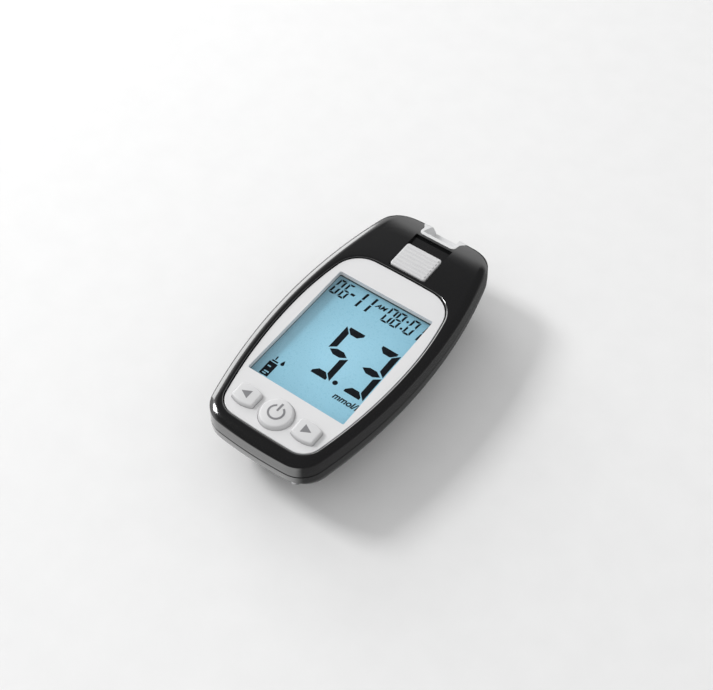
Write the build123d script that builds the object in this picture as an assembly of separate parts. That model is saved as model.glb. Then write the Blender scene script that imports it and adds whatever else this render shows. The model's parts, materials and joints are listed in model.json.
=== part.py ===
from build123d import *
from math import asin, atan2, cos, degrees, sin, sqrt
import os

# Blood glucose meter, hand held, two AAA cells. Millimetres.
# +X to the user's right, +Y towards the strip port, +Z out of the display face.
# The origin is on the flat base, under the middle of the case.

os.makedirs("parts", exist_ok=True)

# ---------------------------------------------------------------- driving sizes
# two AAA cells and their room
cell_radius = 5.25
cell_length = 44.5
cell_tip_length = 0.9
cell_tip_radius = 1.9
cell_end_bevel = 0.4
cell_tip_bevel = 0.2
cell_gap = 0.5              # between the two cells
cell_side_gap = 0.35        # cell to the room's side wall
cell_bottom = 1.9           # cells above the base plane
cell_top_gap = 0.1
cell_end_gap = 0.05
spring_space = 5.5          # room length beyond a cell, for the plates and a spring
room_wall = 1.3
room_side_wall = 1.8
room_ceiling = 0.9

# stack of pieces above the cell room
board_air = 0.6             # board over the room's ceiling
board_thickness = 1.0
stack_gap = 0.1
backlight_thickness = 1.0
lcd_glass = 0.75
lcd_top_gap = 0.1           # under the cover's ledge
ledge_thickness = 1.2       # cover floor that carries the plate
plate_thickness = 1.6
plate_drop = 0.4            # plate top below the bezel top
parting_rise = 1.0          # parting line above the board's top

# lengths that add up to the case's length, from the near end to the strip port
near_bay = 13.5             # near end to the cell room
electronics_bay = 18.5      # cell room to the strip-port guide
port_length = 8.0           # guide's back to the far end

# case
case_width = 45.4
wall = 1.5
side_bow = 150.0            # plan radius of the long sides
end_bow = 120.0             # plan radius of the two ends
near_corner = 8.0
far_corner = 9.0
base_margin = 1.3           # flat base beyond the battery door, each side
hull_rim = 2.5              # upright rim of the lower shell under the parting line
hull_fullness = 1.4         # how full the flanks are below it: 1 is a straight taper, 2 an ellipse
hull_near_fullness = 1.1    # the same at the near end, which is leaner
hull_corner_share = 0.25    # part of the lower shell's tuck that also tightens its plan corners
shoulder_round = 2.0        # roll along the top edge of the front cover
far_roll_length = 9.0       # gentle roll of the face towards the strip port
far_roll_drop = 2.4
parting_groove = 0.25       # depth and height of the fine line between the shells

# face plate and display window, as margins from the case and from the plate
bezel_side = 3.45
bezel_near = 4.4
bezel_far = 22.1
plate_wide_y = -1.8         # where the plate is widest
plate_side_bow_near = 140.0
plate_side_bow_far = 95.0
plate_end_bow = 300.0
plate_near_corner = 6.0
plate_far_corner = 8.5
plate_gap = 0.15
plate_chamfer = 0.15
bezel_lip_chamfer = 0.3
window_side_margin = 3.85
window_near_margin = 14.09
window_far_margin = 8.71
window_corner = 0.4
lens_thickness = 0.8
lens_margin = 0.9           # lens beyond the window, all round
lens_gap = 0.1
lens_seat = 0.5             # ledge width that the lens lies on

# buttons
power_margin = 6.5          # plate's near edge to the power button's middle
power_radius = 4.75
power_crown_radius = 4.2
button_spacing = 1.35       # power button to an arrow button
arrow_side_margin = 6.25    # arrow button's outer side to the plate's widest side
arrow_shift = 0.1           # arrow buttons beyond the power button's middle
arrow_side_half_height = 2.2
arrow_half_height = 3.05
arrow_corner = 0.6
button_rise = 1.3           # above the plate
button_crown = 0.3          # doming of the button tops
button_edge_round = 0.5
button_gap = 0.15
button_flange = 0.55        # how far the retaining flange reaches past the cap
flange_thickness = 0.5
flange_air = 0.1            # flange under the cover's ledge
flange_holder_gap = 0.25
button_travel = 0.4
stem_radius = 1.3
stem_gap = 0.05             # free play between stem and switch

# eject slider
slider_margin = 1.2         # face plate to the slider at rest
slider_length = 9.2
slider_half_width = 5.75
slider_travel = 4.5
slider_rise = 0.8           # above the bezel top
slider_corner = 0.8
slider_edge_round = 0.25
slider_grooves = 7
slider_groove_pitch = 1.3
slider_groove_radius = 0.3
slider_fit = 0.05
track_depth = 1.0
track_floor = 1.3
track_side_gap = 0.3
track_end_gap = 0.2
boss_half_width = 2.3
boss_length = 3.6
boss_inset = 0.8            # boss behind the slider's near edge
slot_side_gap = 0.1
pusher_half_width = 4.0
pusher_thickness = 0.75
pusher_end_gap = 0.3        # pusher to the guide at the end of the travel
finger_half_width = 1.1
finger_thickness = 1.3
finger_side_gap = 0.2
finger_end_gap = 0.4
peg_radius = 0.9
peg_length = 0.5
ear_thickness = 1.0
ear_overhang = 0.2          # ear past the spring's outer side

# slider return spring, beside the strip connector
spring_side_gap = 0.7
spring_coil_radius = 1.0
spring_wire = 0.3
spring_turns = 5
spring_length = 9.6
spring_end_gap = 0.1
spring_rise = 0.2           # spring axis above the middle of its room
spring_post_thickness = 1.2
relief_margin = 0.7         # spring's room beyond the coil
relief_end_gap = 0.6

# strip port
port_wall = 0.8             # slider track to the port's notch
port_flare = 1.75
port_flare_length = 3.0
port_corner = 1.6
guide_gap = 0.1
guide_half_width = 9.0
guide_depth = 8.0           # below the bezel top
dish_side_wall = 0.75
dish_floor_half_width = 3.6
dish_margin = 1.4           # notch bottom to the dish
strip_slot_width = 6.6
strip_slot_height = 0.8
strip_rise = 1.2            # slot floor above the board

# board and display
board_inset = 2.2           # board edge inside the case outline
board_guide_gap = 0.6
board_boss_gap = 0.3
board_post_hole_gap = 0.15
lcd_side_margin = 1.4       # display glass beyond the window
lcd_near_margin = 1.69
lcd_far_margin = 4.41
lcd_contact_ledge = 3.2     # top glass beyond the bottom glass
backlight_side_inset = 0.4
backlight_near_inset = 1.4
backlight_far_inset = 3.4
holder_wall = 0.75
holder_gap = 0.15
holder_rise = 0.05          # holder above the glass
zebra_width = 1.8
zebra_inset = 0.6
zebra_side_inset = 1.0
led_count = 3
led_pitch = 11.0
led_size = (3.0, 1.1, 0.8)
led_gap = 0.15
switch_size = 4.5
switch_height = 1.3
switch_corner = 0.4
switch_floor = 0.2
plunger_radius = 1.0
plunger_length = 1.0
plunger_fit = 0.05
plunger_rise = 0.4

# strip connector
connector_side = 1.9        # connector wall beside the strip
connector_setback = 2.9     # connector behind the slider's near edge
connector_height = 2.6
connector_back_wall = 1.2
connector_end_gap = 0.1
contact_count = 5
contact_pitch = 1.1
contact_width = 0.5
contact_thickness = 0.2
contact_side_gap = 0.1
contact_near_inset = 4.8
contact_far_inset = 1.3
contact_end_gap = 0.2
contact_rise = 0.25         # top of a bowed contact above the slot floor
contact_foot = 0.45         # contact ends above the board

# parts on the board's underside
part_gap = 0.2
beeper_radius = 4.5
beeper_height = 3.5
beeper_boss_gap = 0.4
beeper_room_gap = 2.7
beeper_hole_radius = 0.8
beeper_hole_depth = 0.6
chip_leg_reach = 0.8
chip_leg_height = 0.3
chip_lift = 0.1
main_chip_size = (8.0, 8.0, 1.2)
main_chip_boss_gap = 0.6
main_chip_edge_gap = 4.2
analog_chip_size = (5.0, 4.0, 1.1)
crystal_size = (5.0, 1.6, 1.6)
crystal_corner = 0.7
crystal_edge_gap = 1.3

# contacts of the cells
contact_plate = 0.4
cell_contact_half_width = 4.2
cell_contact_drop = 2.55    # plate's lower edge under the cells' axis
cell_contact_height = 7.2
bridge_strap_height = 2.5
cell_spring_turns = 3
cell_spring_wire = 0.6
cell_spring_radius_big = 3.0
cell_spring_radius_small = 1.8
cell_spring_air = 0.1

# battery door
door_side_overlap = 0.8     # door beyond the room at each side
door_overlap = 1.4          # door beyond the room at each end
door_thickness = 1.25
door_recess = 0.15          # door skin above the base plane
door_gap = 0.15
door_corner = 2.0
door_hinge_corner = 0.4
door_lip_gap = 0.1
door_hook_x = 6.2
door_hook_width = 4.0
door_hook_reach = 2.0
door_hook_thickness = 0.8
door_hook_round = 0.3
hook_side_gap = 0.3
hook_swing_gap = 0.5
door_grooves = 4
door_groove_pitch = 1.3
door_groove_radius = 0.3
door_groove_side = 1.5      # grooves beyond the latch, each side
door_groove_inset = 3.0
latch_width = 7.0
latch_height = 4.2
latch_thickness = 0.8
latch_inset = 0.2
latch_gap = 0.3
finger_notch_radius = 4.5
finger_notch_depth = 0.8
finger_notch_shift = 1.0

# fasteners
case_boss_radius = 2.4
case_tube_radius = 3.0
case_boss_end = 10.5        # height where boss and tube meet
case_boss_meet_gap = 0.1
boss_wall_gap = 0.2         # between a boss and the rear shell's wall
case_screw_head_radius = 2.0
case_screw_head_height = 1.3
case_screw_shank_radius = 0.95
case_screw_clearance = 0.25
case_screw_seat = 9.0       # height of the counterbore floor
case_screw_length = 6.5
far_screw_side = 7.9        # screws from the case's sides and ends
far_screw_end = 14.5
near_screw_side = 12.2
near_screw_end = 4.8
board_post_radius = 1.9
far_post_side = 7.5
far_post_end = 22.4
near_post_spacing = 4.9     # near board post beside the near case screw
near_post_end = 4.0
board_screw_head_radius = 1.6
board_screw_head_height = 0.8
board_screw_shank_radius = 0.7
board_screw_length = 2.2
head_chamfer_share = 0.35
recess_length_share = 1.3
recess_width_share = 0.3
thread_fit = 0.02
hole_depth_spare = 0.3
tiny = 0.01                 # overlap that joins two pieces of one solid
spare = 1.0                 # how far a cutter reaches past what it cuts

# ---------------------------------------------------------------- worked-out sizes
cell_pitch = 2 * cell_radius + cell_gap
cell_x = cell_pitch / 2
cell_z = cell_bottom + cell_radius
room_half_width = cell_x + cell_radius + cell_side_gap
room_length = cell_length + spring_space
room_top = cell_bottom + 2 * cell_radius + cell_top_gap

board_bottom = room_top + room_ceiling + board_air
board_top = board_bottom + board_thickness
lcd_bottom = board_top + 2 * stack_gap + backlight_thickness
lcd_top = lcd_bottom + 2 * lcd_glass
ledge_bottom = lcd_top + lcd_top_gap
plate_seat = ledge_bottom + ledge_thickness
plate_top = plate_seat + plate_thickness
case_height = plate_top + plate_drop
parting_height = board_top + parting_rise
lens_bottom = plate_seat - lens_thickness
track_z = case_height - track_depth
relief_z = track_z - track_floor

case_length = near_bay + room_length + electronics_bay + port_length
half_length = case_length / 2
half_width = case_width / 2
room_near_y = near_bay - half_length
room_far_y = room_near_y + room_length
guide_back_y = half_length - port_length
board_far_y = guide_back_y - board_guide_gap

door_half_width = room_half_width + door_side_overlap
door_near_y = room_near_y - door_overlap
hinge_y = room_far_y + door_overlap
hinge_z = door_recess + door_thickness / 2
hull_tuck = half_width - door_half_width - base_margin

plate_half_width = half_width - bezel_side
plate_near_y = bezel_near - half_length
plate_far_y = half_length - bezel_far
window_width = 2 * (plate_half_width - window_side_margin)
window_near_y = plate_near_y + window_near_margin
window_far_y = plate_far_y - window_far_margin
window_length = window_far_y - window_near_y
window_y = (window_far_y + window_near_y) / 2
lcd_half_width = window_width / 2 + lcd_side_margin
lcd_near_y = window_near_y - lcd_near_margin
lcd_far_y = window_far_y + lcd_far_margin

power_y = plate_near_y + power_margin
arrow_y = power_y + arrow_shift
arrow_inner_x = power_radius + button_spacing
arrow_outer_x = plate_half_width - arrow_side_margin
arrow_half_width = (arrow_outer_x - arrow_inner_x) / 2
arrow_x = (arrow_outer_x + arrow_inner_x) / 2
flange_top = ledge_bottom - flange_air
flange_bottom = flange_top - flange_thickness
flange_limit_y = lcd_near_y - holder_gap - holder_wall - flange_holder_gap
switch_top = board_top + switch_height
plunger_top = switch_top + plunger_rise
stem_bottom = plunger_top + stem_gap

slider_near_y = plate_far_y + slider_margin
slider_far_y = slider_near_y + slider_length
track_far_y = slider_far_y + slider_travel + track_end_gap
port_half_width = slider_half_width + track_side_gap
port_mouth_half_width = port_half_width + port_flare
port_bottom_y = track_far_y + port_wall
dish_bottom_y = port_bottom_y + dish_margin
dish_half_width = port_half_width - dish_side_wall
strip_floor = board_top + strip_rise
pusher_top = relief_z - slider_fit
pusher_bottom = pusher_top - pusher_thickness
pusher_far_y = guide_back_y - pusher_end_gap - slider_travel
connector_half_width = strip_slot_width / 2 + connector_side
connector_near_y = slider_near_y + connector_setback
spring_x = connector_half_width + spring_side_gap + spring_coil_radius
spring_z = (board_top + relief_z) / 2 + spring_rise
spring_y0 = slider_near_y + ear_thickness + spring_end_gap
post_y0 = spring_y0 + spring_length + spring_end_gap
relief_half_width = spring_x + spring_coil_radius + relief_margin

far_screw = (half_width - far_screw_side, half_length - far_screw_end)
near_screw = (half_width - near_screw_side, near_screw_end - half_length)
case_screw_places = [far_screw, near_screw]
board_post_places = [
    (half_width - far_post_side, half_length - far_post_end),
    (near_screw[0] - near_post_spacing, near_post_end - half_length),
]
far_boss_inner_x = far_screw[0] - case_boss_radius
beeper_place = (beeper_boss_gap + beeper_radius - far_boss_inner_x,
                room_far_y + room_wall + beeper_room_gap + beeper_radius)
main_chip_place = (far_boss_inner_x - main_chip_boss_gap - chip_leg_reach - main_chip_size[0] / 2,
                   board_far_y - main_chip_edge_gap - main_chip_size[1] / 2)
analog_chip_place = (0.0, room_far_y + room_wall + part_gap + analog_chip_size[1] / 2)
crystal_place = (0.0, board_far_y - crystal_edge_gap - crystal_size[1] / 2)


# ---------------------------------------------------------------- helpers
def block(x0, x1, y0, y1, z0, z1):
    """Box between two corners."""
    return Pos((x0 + x1) / 2, (y0 + y1) / 2, (z0 + z1) / 2) * Box(x1 - x0, y1 - y0, z1 - z0)


def rod(radius, x, y, z0, z1):
    """Upright cylinder."""
    return Pos(x, y, (z0 + z1) / 2) * Cylinder(radius, z1 - z0)


def rounded_block(half_x, half_y, corner, z0, z1, x=0.0, y=0.0):
    """Upright block with rounded plan corners."""
    return extrude(Pos(x, y, z0) * RectangleRounded(2 * half_x, 2 * half_y, corner), z1 - z0)


def mirrored(places):
    """Each place and its twin on the other side of the middle plane."""
    return [(side * x, y) for x, y in places for side in (-1, 1)]


def bowed_outline(half_w, near_y, far_y, wide_y, sides, ends, corners):
    """Face of a plan shape with bowed sides and ends joined by tangent corner arcs.

    sides, ends and corners each hold the radius for the near half and the far half."""

    def quadrant(sx, sy, side, end, corner, end_y):
        side_c = Vector(sx * (half_w - side), wide_y)
        end_c = Vector(0, end_y - sy * end)
        gap = end_c - side_c
        along = (gap.length ** 2 + (side - corner) ** 2 - (end - corner) ** 2) / (2 * gap.length)
        across = sqrt((side - corner) ** 2 - along ** 2)
        unit = gap.normalized()
        normal = Vector(-unit.Y, unit.X)
        options = [side_c + unit * along + normal * s * across for s in (-1, 1)]
        centre = max(options, key=lambda p: sx * p.X + sy * p.Y)
        on_side = centre + (centre - side_c).normalized() * corner
        on_end = centre + (centre - end_c).normalized() * corner
        return side_c, side, centre, corner, end_c, end, on_side, on_end

    def arc(p, q, centre, radius):
        middle = centre + ((p - centre) + (q - centre)).normalized() * radius
        return ThreePointArc(p, middle, q)

    near = quadrant(1, -1, sides[0], ends[0], corners[0], near_y)
    far = quadrant(1, 1, sides[1], ends[1], corners[1], far_y)
    widest = Vector(half_w, wide_y)
    right = [
        arc(near[7], near[6], near[2], near[3]),
        arc(near[6], widest, near[0], near[1]),
        arc(widest, far[6], far[0], far[1]),
        arc(far[6], far[7], far[2], far[3]),
    ]
    flip = lambda p: Vector(-p.X, p.Y)
    far_end = arc(far[7], flip(far[7]), far[4], far[5])
    left = [edge.mirror(Plane.YZ) for edge in right]
    near_end = arc(flip(near[7]), near[7], near[4], near[5])
    return make_face(Wire(right + [far_end] + left + [near_end]))


def case_face(z, inward=0.0, tuck=0.0, near_tuck=0.0):
    """The case's plan outline at height z: offset inward as a wall is, or tucked in as the hull is."""
    shrink = tuck + inward
    corner_shrink = hull_corner_share * tuck + inward
    return Pos(0, 0, z) * bowed_outline(
        half_width - shrink, -half_length + near_tuck + inward, half_length - shrink, 0,
        (side_bow - shrink, side_bow - shrink), (end_bow - shrink, end_bow - shrink),
        (near_corner - corner_shrink, far_corner - corner_shrink))


def plate_face(z, grow=0.0):
    """The face plate's plan outline at height z, offset outward by grow."""
    return Pos(0, 0, z) * bowed_outline(
        plate_half_width + grow, plate_near_y - grow, plate_far_y + grow, plate_wide_y,
        (plate_side_bow_near + grow, plate_side_bow_far + grow),
        (plate_end_bow + grow, plate_end_bow + grow),
        (plate_near_corner + grow, plate_far_corner + grow))


def arrow_face(z, grow=0.0):
    """Barrel-shaped plan of an arrow button: straight sides, bulged top and bottom."""
    w, h, side_h = arrow_half_width + grow, arrow_half_height + grow, arrow_side_half_height + grow
    top = ThreePointArc((w, side_h), (0, h), (-w, side_h))
    bottom = ThreePointArc((-w, -side_h), (0, -h), (w, -side_h))
    sides = [Line((-w, side_h), (-w, -side_h)), Line((w, -side_h), (w, side_h))]
    face = make_face(Wire([top, sides[0], bottom, sides[1]]))
    return Pos(0, 0, z) * fillet(face.vertices(), arrow_corner + grow)


def slab(face, height):
    """Face pushed straight up."""
    return extrude(face, height, dir=(0, 0, 1))


def edges_at(shape, z):
    """Edges whose middle lies at height z."""
    return [e for e in shape.edges() if abs(e.center().Z - z) < tiny]


def flank_tuck(share, fullness):
    """How far the hull has drawn in at a share of its depth below the rim, along a superellipse."""
    return hull_tuck * (1 - (1 - share ** fullness) ** (1 / fullness))


def hull(inward, floor_z, shares=(0.0, 0.3, 0.6, 0.85, 1.0), ruled=False):
    """Boat-shaped lower body: an upright rim, then flanks that draw in down to floor_z."""
    rim_z = parting_height - hull_rim
    sections = []
    for share in shares:
        z = rim_z - share * (rim_z - floor_z)
        sections.append(case_face(z, inward, flank_tuck(share, hull_fullness),
                                  flank_tuck(share, hull_near_fullness)))
    return loft(sections, ruled=ruled) + slab(case_face(rim_z, inward), hull_rim)


def inner_hull(inward, floor_z):
    """The hull's inside, in straight bands."""
    return hull(inward, floor_z, (0.0, 0.45, 0.8, 1.0), True)


def inside(gap):
    """The space inside both shells, kept gap clear of their walls."""
    upper = slab(case_face(parting_height - tiny, inward=wall + gap), case_height - parting_height)
    return inner_hull(wall + gap, wall + gap) + upper


def parting_ring():
    """Thin ring that cuts the fine groove round the case where the shells meet."""
    z0 = parting_height - parting_groove / 2
    return slab(case_face(z0, inward=-spare), parting_groove) - slab(
        case_face(z0, inward=parting_groove), parting_groove)


def roof_cutter():
    """Everything above the face, which runs flat and then rolls down towards the strip port."""
    radius = (far_roll_length ** 2 + far_roll_drop ** 2) / (2 * far_roll_drop)
    start_y = half_length - far_roll_length
    sweep_angle = asin((far_roll_length + spare) / radius)
    end = (start_y + radius * sin(sweep_angle), case_height - radius * (1 - cos(sweep_angle)))
    middle = (start_y + radius * sin(sweep_angle / 2),
              case_height - radius * (1 - cos(sweep_angle / 2)))
    top = 2 * case_height
    outline = Wire([
        Line((-case_length, case_height), (start_y, case_height)),
        ThreePointArc((start_y, case_height), middle, end),
        Line(end, (case_length, end[1])),
        Line((case_length, end[1]), (case_length, top)),
        Line((case_length, top), (-case_length, top)),
        Line((-case_length, top), (-case_length, case_height)),
    ])
    return extrude(Plane.YZ * make_face(outline), case_width, both=True)


def port_face(z, inset=0.0):
    """Plan of the strip-port notch: a flat bottom with round corners, flared towards the mouth."""
    y0, w, mouth = port_bottom_y + inset, port_half_width - inset, port_mouth_half_width - inset
    flare_y, past_y = half_length - port_flare_length, half_length + port_flare_length
    points = [(-w, y0), (w, y0), (w, flare_y), (mouth, half_length), (mouth, past_y),
              (-mouth, past_y), (-mouth, half_length), (-w, flare_y)]
    face = make_face(Polyline(*points, close=True))
    bottom = [v for v in face.vertices() if v.Y < y0 + tiny]
    return Pos(0, 0, z) * fillet(bottom, port_corner - inset)


def helix_spring(coil_radius, wire, turns, length, cone=0.0):
    """Open coil along +Z from z = 0 to length, one closed solid of six-sided wire."""
    pitch = (length - wire) / turns
    path = Helix(pitch, length - wire, coil_radius, center=(0, 0, wire / 2), cone_angle=cone)
    profile = Plane(origin=path @ 0, z_dir=path % 0) * RegularPolygon(wire / 2, 6)
    return sweep(profile, path=path, is_frenet=True)


def save(name, shape):
    export_step(shape, f"parts/{name}.step")


# ---------------------------------------------------------------- front cover
def cover_blank():
    """Solid upper body with its rolled rim, before anything is cut from it."""
    body = slab(case_face(parting_height), case_height - parting_height + spare) - roof_cutter()
    top_edges = [e for f in body.faces() if f.normal_at().Z > 0.3 for e in f.edges()]
    rim = [e for e in top_edges if sum(e.center() == o.center() for o in top_edges) == 1]
    return fillet(rim, shoulder_round)


cover_body = cover_blank()


def slider_slot():
    """Slot in the track's floor that the slider's boss runs in."""
    half = boss_half_width + slot_side_gap
    y0 = slider_near_y + boss_inset - track_end_gap
    y1 = slider_near_y + boss_inset + boss_length + slider_travel + track_end_gap
    return block(-half, half, y0, y1, relief_z - spare, track_z + spare)


def lip_edges(cover):
    """The bezel's inner edges round the face plate."""
    return [e for e in edges_at(cover, case_height)
            if plate_near_y - spare < e.center().Y < plate_far_y + spare
            and abs(e.center().X) < plate_half_width + spare]


def front_cover():
    cover = cover_body
    cover -= slab(case_face(parting_height - spare, inward=wall), ledge_bottom - parting_height + spare)
    cover -= slab(plate_face(plate_seat, plate_gap), case_height)
    cover = chamfer(lip_edges(cover), bezel_lip_chamfer)
    # display opening with the rebate that the lens drops into
    lens_x = window_width / 2 + lens_margin + lens_gap
    lens_y = window_length / 2 + lens_margin + lens_gap
    cover -= rounded_block(lens_x, lens_y, window_corner + lens_margin + lens_gap, lens_bottom, plate_top,
                           0, window_y)
    open_x, open_y = lens_x - lens_gap - lens_seat, lens_y - lens_gap - lens_seat
    cover -= rounded_block(open_x, open_y, window_corner, parting_height, plate_seat, 0, window_y)
    # button holes
    cover -= rod(power_radius + button_gap, 0, power_y, parting_height, plate_top)
    for side in (-1, 1):
        hole = slab(arrow_face(parting_height, button_gap), plate_top - parting_height)
        cover -= Pos(side * arrow_x, arrow_y, 0) * hole
    # track for the eject slider, its slot and the room under it
    cover -= block(-port_half_width, port_half_width, slider_near_y - track_end_gap, track_far_y,
                   track_z, 2 * case_height)
    cover -= slider_slot()
    relief = block(-relief_half_width, relief_half_width, slider_near_y - relief_end_gap, guide_back_y,
                   parting_height - spare, relief_z)
    cover -= relief
    # post at the far end of the return spring
    post_inner_x = spring_x - spring_coil_radius - relief_margin / 2
    cover += block(post_inner_x, relief_half_width + tiny, post_y0, post_y0 + spring_post_thickness,
                   spring_z - spring_coil_radius, relief_z + tiny)
    # strip-port notch
    cover -= slab(port_face(parting_height - spare), case_height)
    # bosses for the case screws and posts for the board
    boss_room = inside(boss_wall_gap)
    boss_room += slab(case_face(parting_height + parting_groove, inward=wall / 2), case_height)
    for x, y in mirrored(case_screw_places):
        cover += rod(case_boss_radius, x, y, case_boss_end + case_boss_meet_gap, ledge_bottom + tiny) & boss_room
        cover -= rod(case_screw_shank_radius + thread_fit, x, y, case_boss_end - spare,
                     case_screw_seat + case_screw_length + hole_depth_spare)
    for x, y in mirrored(board_post_places):
        cover += rod(board_post_radius, x, y, board_top, ledge_bottom + tiny)
        cover -= rod(board_screw_shank_radius + thread_fit, x, y, board_top - spare,
                     board_bottom + board_screw_length + hole_depth_spare)
    return cover - parting_ring()


# ---------------------------------------------------------------- face plate, lens, buttons
def face_plate():
    plate = slab(plate_face(plate_seat), plate_thickness)
    plate = chamfer(edges_at(plate, plate_top), plate_chamfer)
    plate -= rounded_block(window_width / 2, window_length / 2, window_corner, plate_seat - spare,
                           plate_top + spare, 0, window_y)
    plate -= rod(power_radius + button_gap, 0, power_y, plate_seat - spare, plate_top + spare)
    for side in (-1, 1):
        hole = slab(arrow_face(plate_seat - spare, button_gap), plate_thickness + 2 * spare)
        plate -= Pos(side * arrow_x, arrow_y, 0) * hole
    return plate


def display_lens():
    return rounded_block(window_width / 2 + lens_margin, window_length / 2 + lens_margin,
                         window_corner + lens_margin, lens_bottom, plate_seat, 0, window_y)


def power_button():
    crown = plate_top + button_rise
    shoulder = (power_crown_radius, crown - button_crown)
    dome_radius = (power_crown_radius ** 2 + button_crown ** 2) / (2 * button_crown)
    profile = Wire([
        Line((0, flange_bottom), (power_radius, flange_bottom)),
        Line((power_radius, flange_bottom), (power_radius, plate_top)),
        Line((power_radius, plate_top), shoulder),
        RadiusArc(shoulder, (0, crown), -dome_radius),
        Line((0, crown), (0, flange_bottom)),
    ])
    button = revolve(Plane.XZ * make_face(profile), Axis.Z)
    button = fillet(edges_at(button, shoulder[1]), button_edge_round)
    button += rod(power_radius + button_flange, 0, 0, flange_bottom, flange_top)
    button += rod(stem_radius, 0, 0, stem_bottom, flange_bottom + tiny)
    button = Pos(0, power_y, 0) * button
    # the flange is cut flat beside the display holder
    return button - block(-case_width, case_width, flange_limit_y, 0, 0, flange_top + tiny)


def arrow_button(side):
    crown = plate_top + button_rise
    cap = slab(arrow_face(plate_top), button_rise)
    cap = fillet(edges_at(cap, crown), button_edge_round)
    button = cap + slab(arrow_face(flange_top - tiny), plate_top - flange_top + tiny)
    button += slab(arrow_face(flange_bottom, button_flange), flange_thickness)
    button += rod(stem_radius, 0, 0, stem_bottom, flange_bottom + tiny)
    return Pos(side * arrow_x, arrow_y, 0) * button


# ---------------------------------------------------------------- eject slider and pusher
def eject_slider():
    y_mid = slider_near_y + slider_length / 2
    top = case_height + slider_rise
    body = rounded_block(slider_half_width, slider_length / 2, slider_corner, track_z + slider_fit,
                         top, 0, y_mid)
    body = fillet(edges_at(body, top), slider_edge_round)
    groove = Rot(0, 90, 0) * Cylinder(slider_groove_radius, 2 * (slider_half_width + spare))
    for i in range(slider_grooves):
        body -= Pos(0, y_mid + slider_groove_pitch * (i - (slider_grooves - 1) / 2), top) * groove
    y0 = slider_near_y + boss_inset
    body += block(-boss_half_width, boss_half_width, y0, y0 + boss_length, pusher_top,
                  track_z + slider_fit + tiny)
    return body + rod(peg_radius, 0, y0 + boss_length / 2, pusher_top - peg_length, pusher_top + tiny)


def eject_pusher():
    y0 = slider_near_y
    plate = block(-pusher_half_width, pusher_half_width, y0, pusher_far_y, pusher_bottom, pusher_top)
    # finger that reaches behind the strip inside the connector
    plate += block(-finger_half_width, finger_half_width, y0, y0 + finger_thickness,
                   strip_floor, pusher_bottom + tiny)
    # arm over the connector's side, and the ear on it that the return spring bears on
    ear_far_x = spring_x + spring_coil_radius + ear_overhang
    plate += block(pusher_half_width - tiny, ear_far_x, y0, y0 + ear_thickness, pusher_bottom, pusher_top)
    plate += block(connector_half_width + spring_side_gap / 2, ear_far_x, y0, y0 + ear_thickness,
                   spring_z - spring_coil_radius, pusher_bottom + tiny)
    y_peg = slider_near_y + boss_inset + boss_length / 2
    return plate - rod(peg_radius + slider_fit, 0, y_peg, pusher_bottom - spare, pusher_top + spare)


def slider_return_spring():
    coil = helix_spring(spring_coil_radius, spring_wire, spring_turns, spring_length)
    return Pos(spring_x, spring_y0, spring_z) * Rot(-90, 0, 0) * coil


# ---------------------------------------------------------------- strip port
def strip_port_guide():
    # upper block that fills the notch, its top following the face, and the lower body inside
    foot = case_height - guide_depth
    upper = slab(port_face(foot, guide_gap), guide_depth)
    upper &= cover_body + slab(case_face(foot), parting_height - foot)
    lower = block(-guide_half_width, guide_half_width, guide_back_y, half_length, foot,
                  ledge_bottom - guide_gap)
    guide = upper + (lower & inside(guide_gap))
    # dish that lets a fingertip follow the strip in
    dish_length = half_length - dish_bottom_y
    floor = Pos(0, half_length, strip_floor) * Rectangle(2 * dish_floor_half_width, 2 * dish_length)
    mouth = Pos(0, half_length, case_height) * Rectangle(2 * dish_half_width, 2 * (dish_length + guide_gap))
    guide -= loft([floor, mouth])
    # slot that the strip passes through on its way to the connector
    return guide - block(-strip_slot_width / 2, strip_slot_width / 2, guide_back_y - spare, half_length,
                         strip_floor, strip_floor + strip_slot_height)


def contact_xs():
    """Places of the contacts across the connector."""
    return [(i - (contact_count - 1) / 2) * contact_pitch for i in range(contact_count)]


def strip_connector():
    top = board_top + connector_height
    far_y = board_far_y - connector_end_gap
    body = block(-connector_half_width, connector_half_width, connector_near_y, far_y, board_top, top)
    body -= block(-strip_slot_width / 2, strip_slot_width / 2, connector_near_y + connector_back_wall,
                  far_y + spare, strip_floor, strip_floor + strip_slot_height)
    # room for the ejector finger over its whole travel
    finger_room = finger_half_width + finger_side_gap
    body -= block(-finger_room, finger_room, connector_near_y - spare,
                  slider_near_y + finger_thickness + slider_travel + finger_end_gap,
                  strip_floor - contact_side_gap, top + spare)
    # one groove for each contact
    half = contact_width / 2 + contact_side_gap
    for x in contact_xs():
        body -= block(x - half, x + half, connector_near_y + contact_near_inset - contact_end_gap,
                      far_y - contact_far_inset + contact_end_gap,
                      board_top + contact_foot - contact_side_gap, strip_floor + contact_side_gap)
    return body


def strip_contacts():
    """Bowed springs that press up on the strip's pads."""
    y0, y1 = connector_near_y + contact_near_inset, board_far_y - connector_end_gap - contact_far_inset
    base = board_top + contact_foot
    crest = strip_floor + contact_rise
    middle = (y0 + y1) / 2
    low = ThreePointArc((y0, base), (middle, crest), (y1, base))
    high = ThreePointArc((y1, base + contact_thickness), (middle, crest + contact_thickness),
                         (y0, base + contact_thickness))
    ends = [Line((y1, base), (y1, base + contact_thickness)),
            Line((y0, base + contact_thickness), (y0, base))]
    face = Plane.YZ * make_face(Wire([low, ends[0], high, ends[1]]))
    bow = extrude(face, contact_width / 2, both=True)
    return Compound([Pos(x, 0, 0) * bow for x in contact_xs()])


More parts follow.
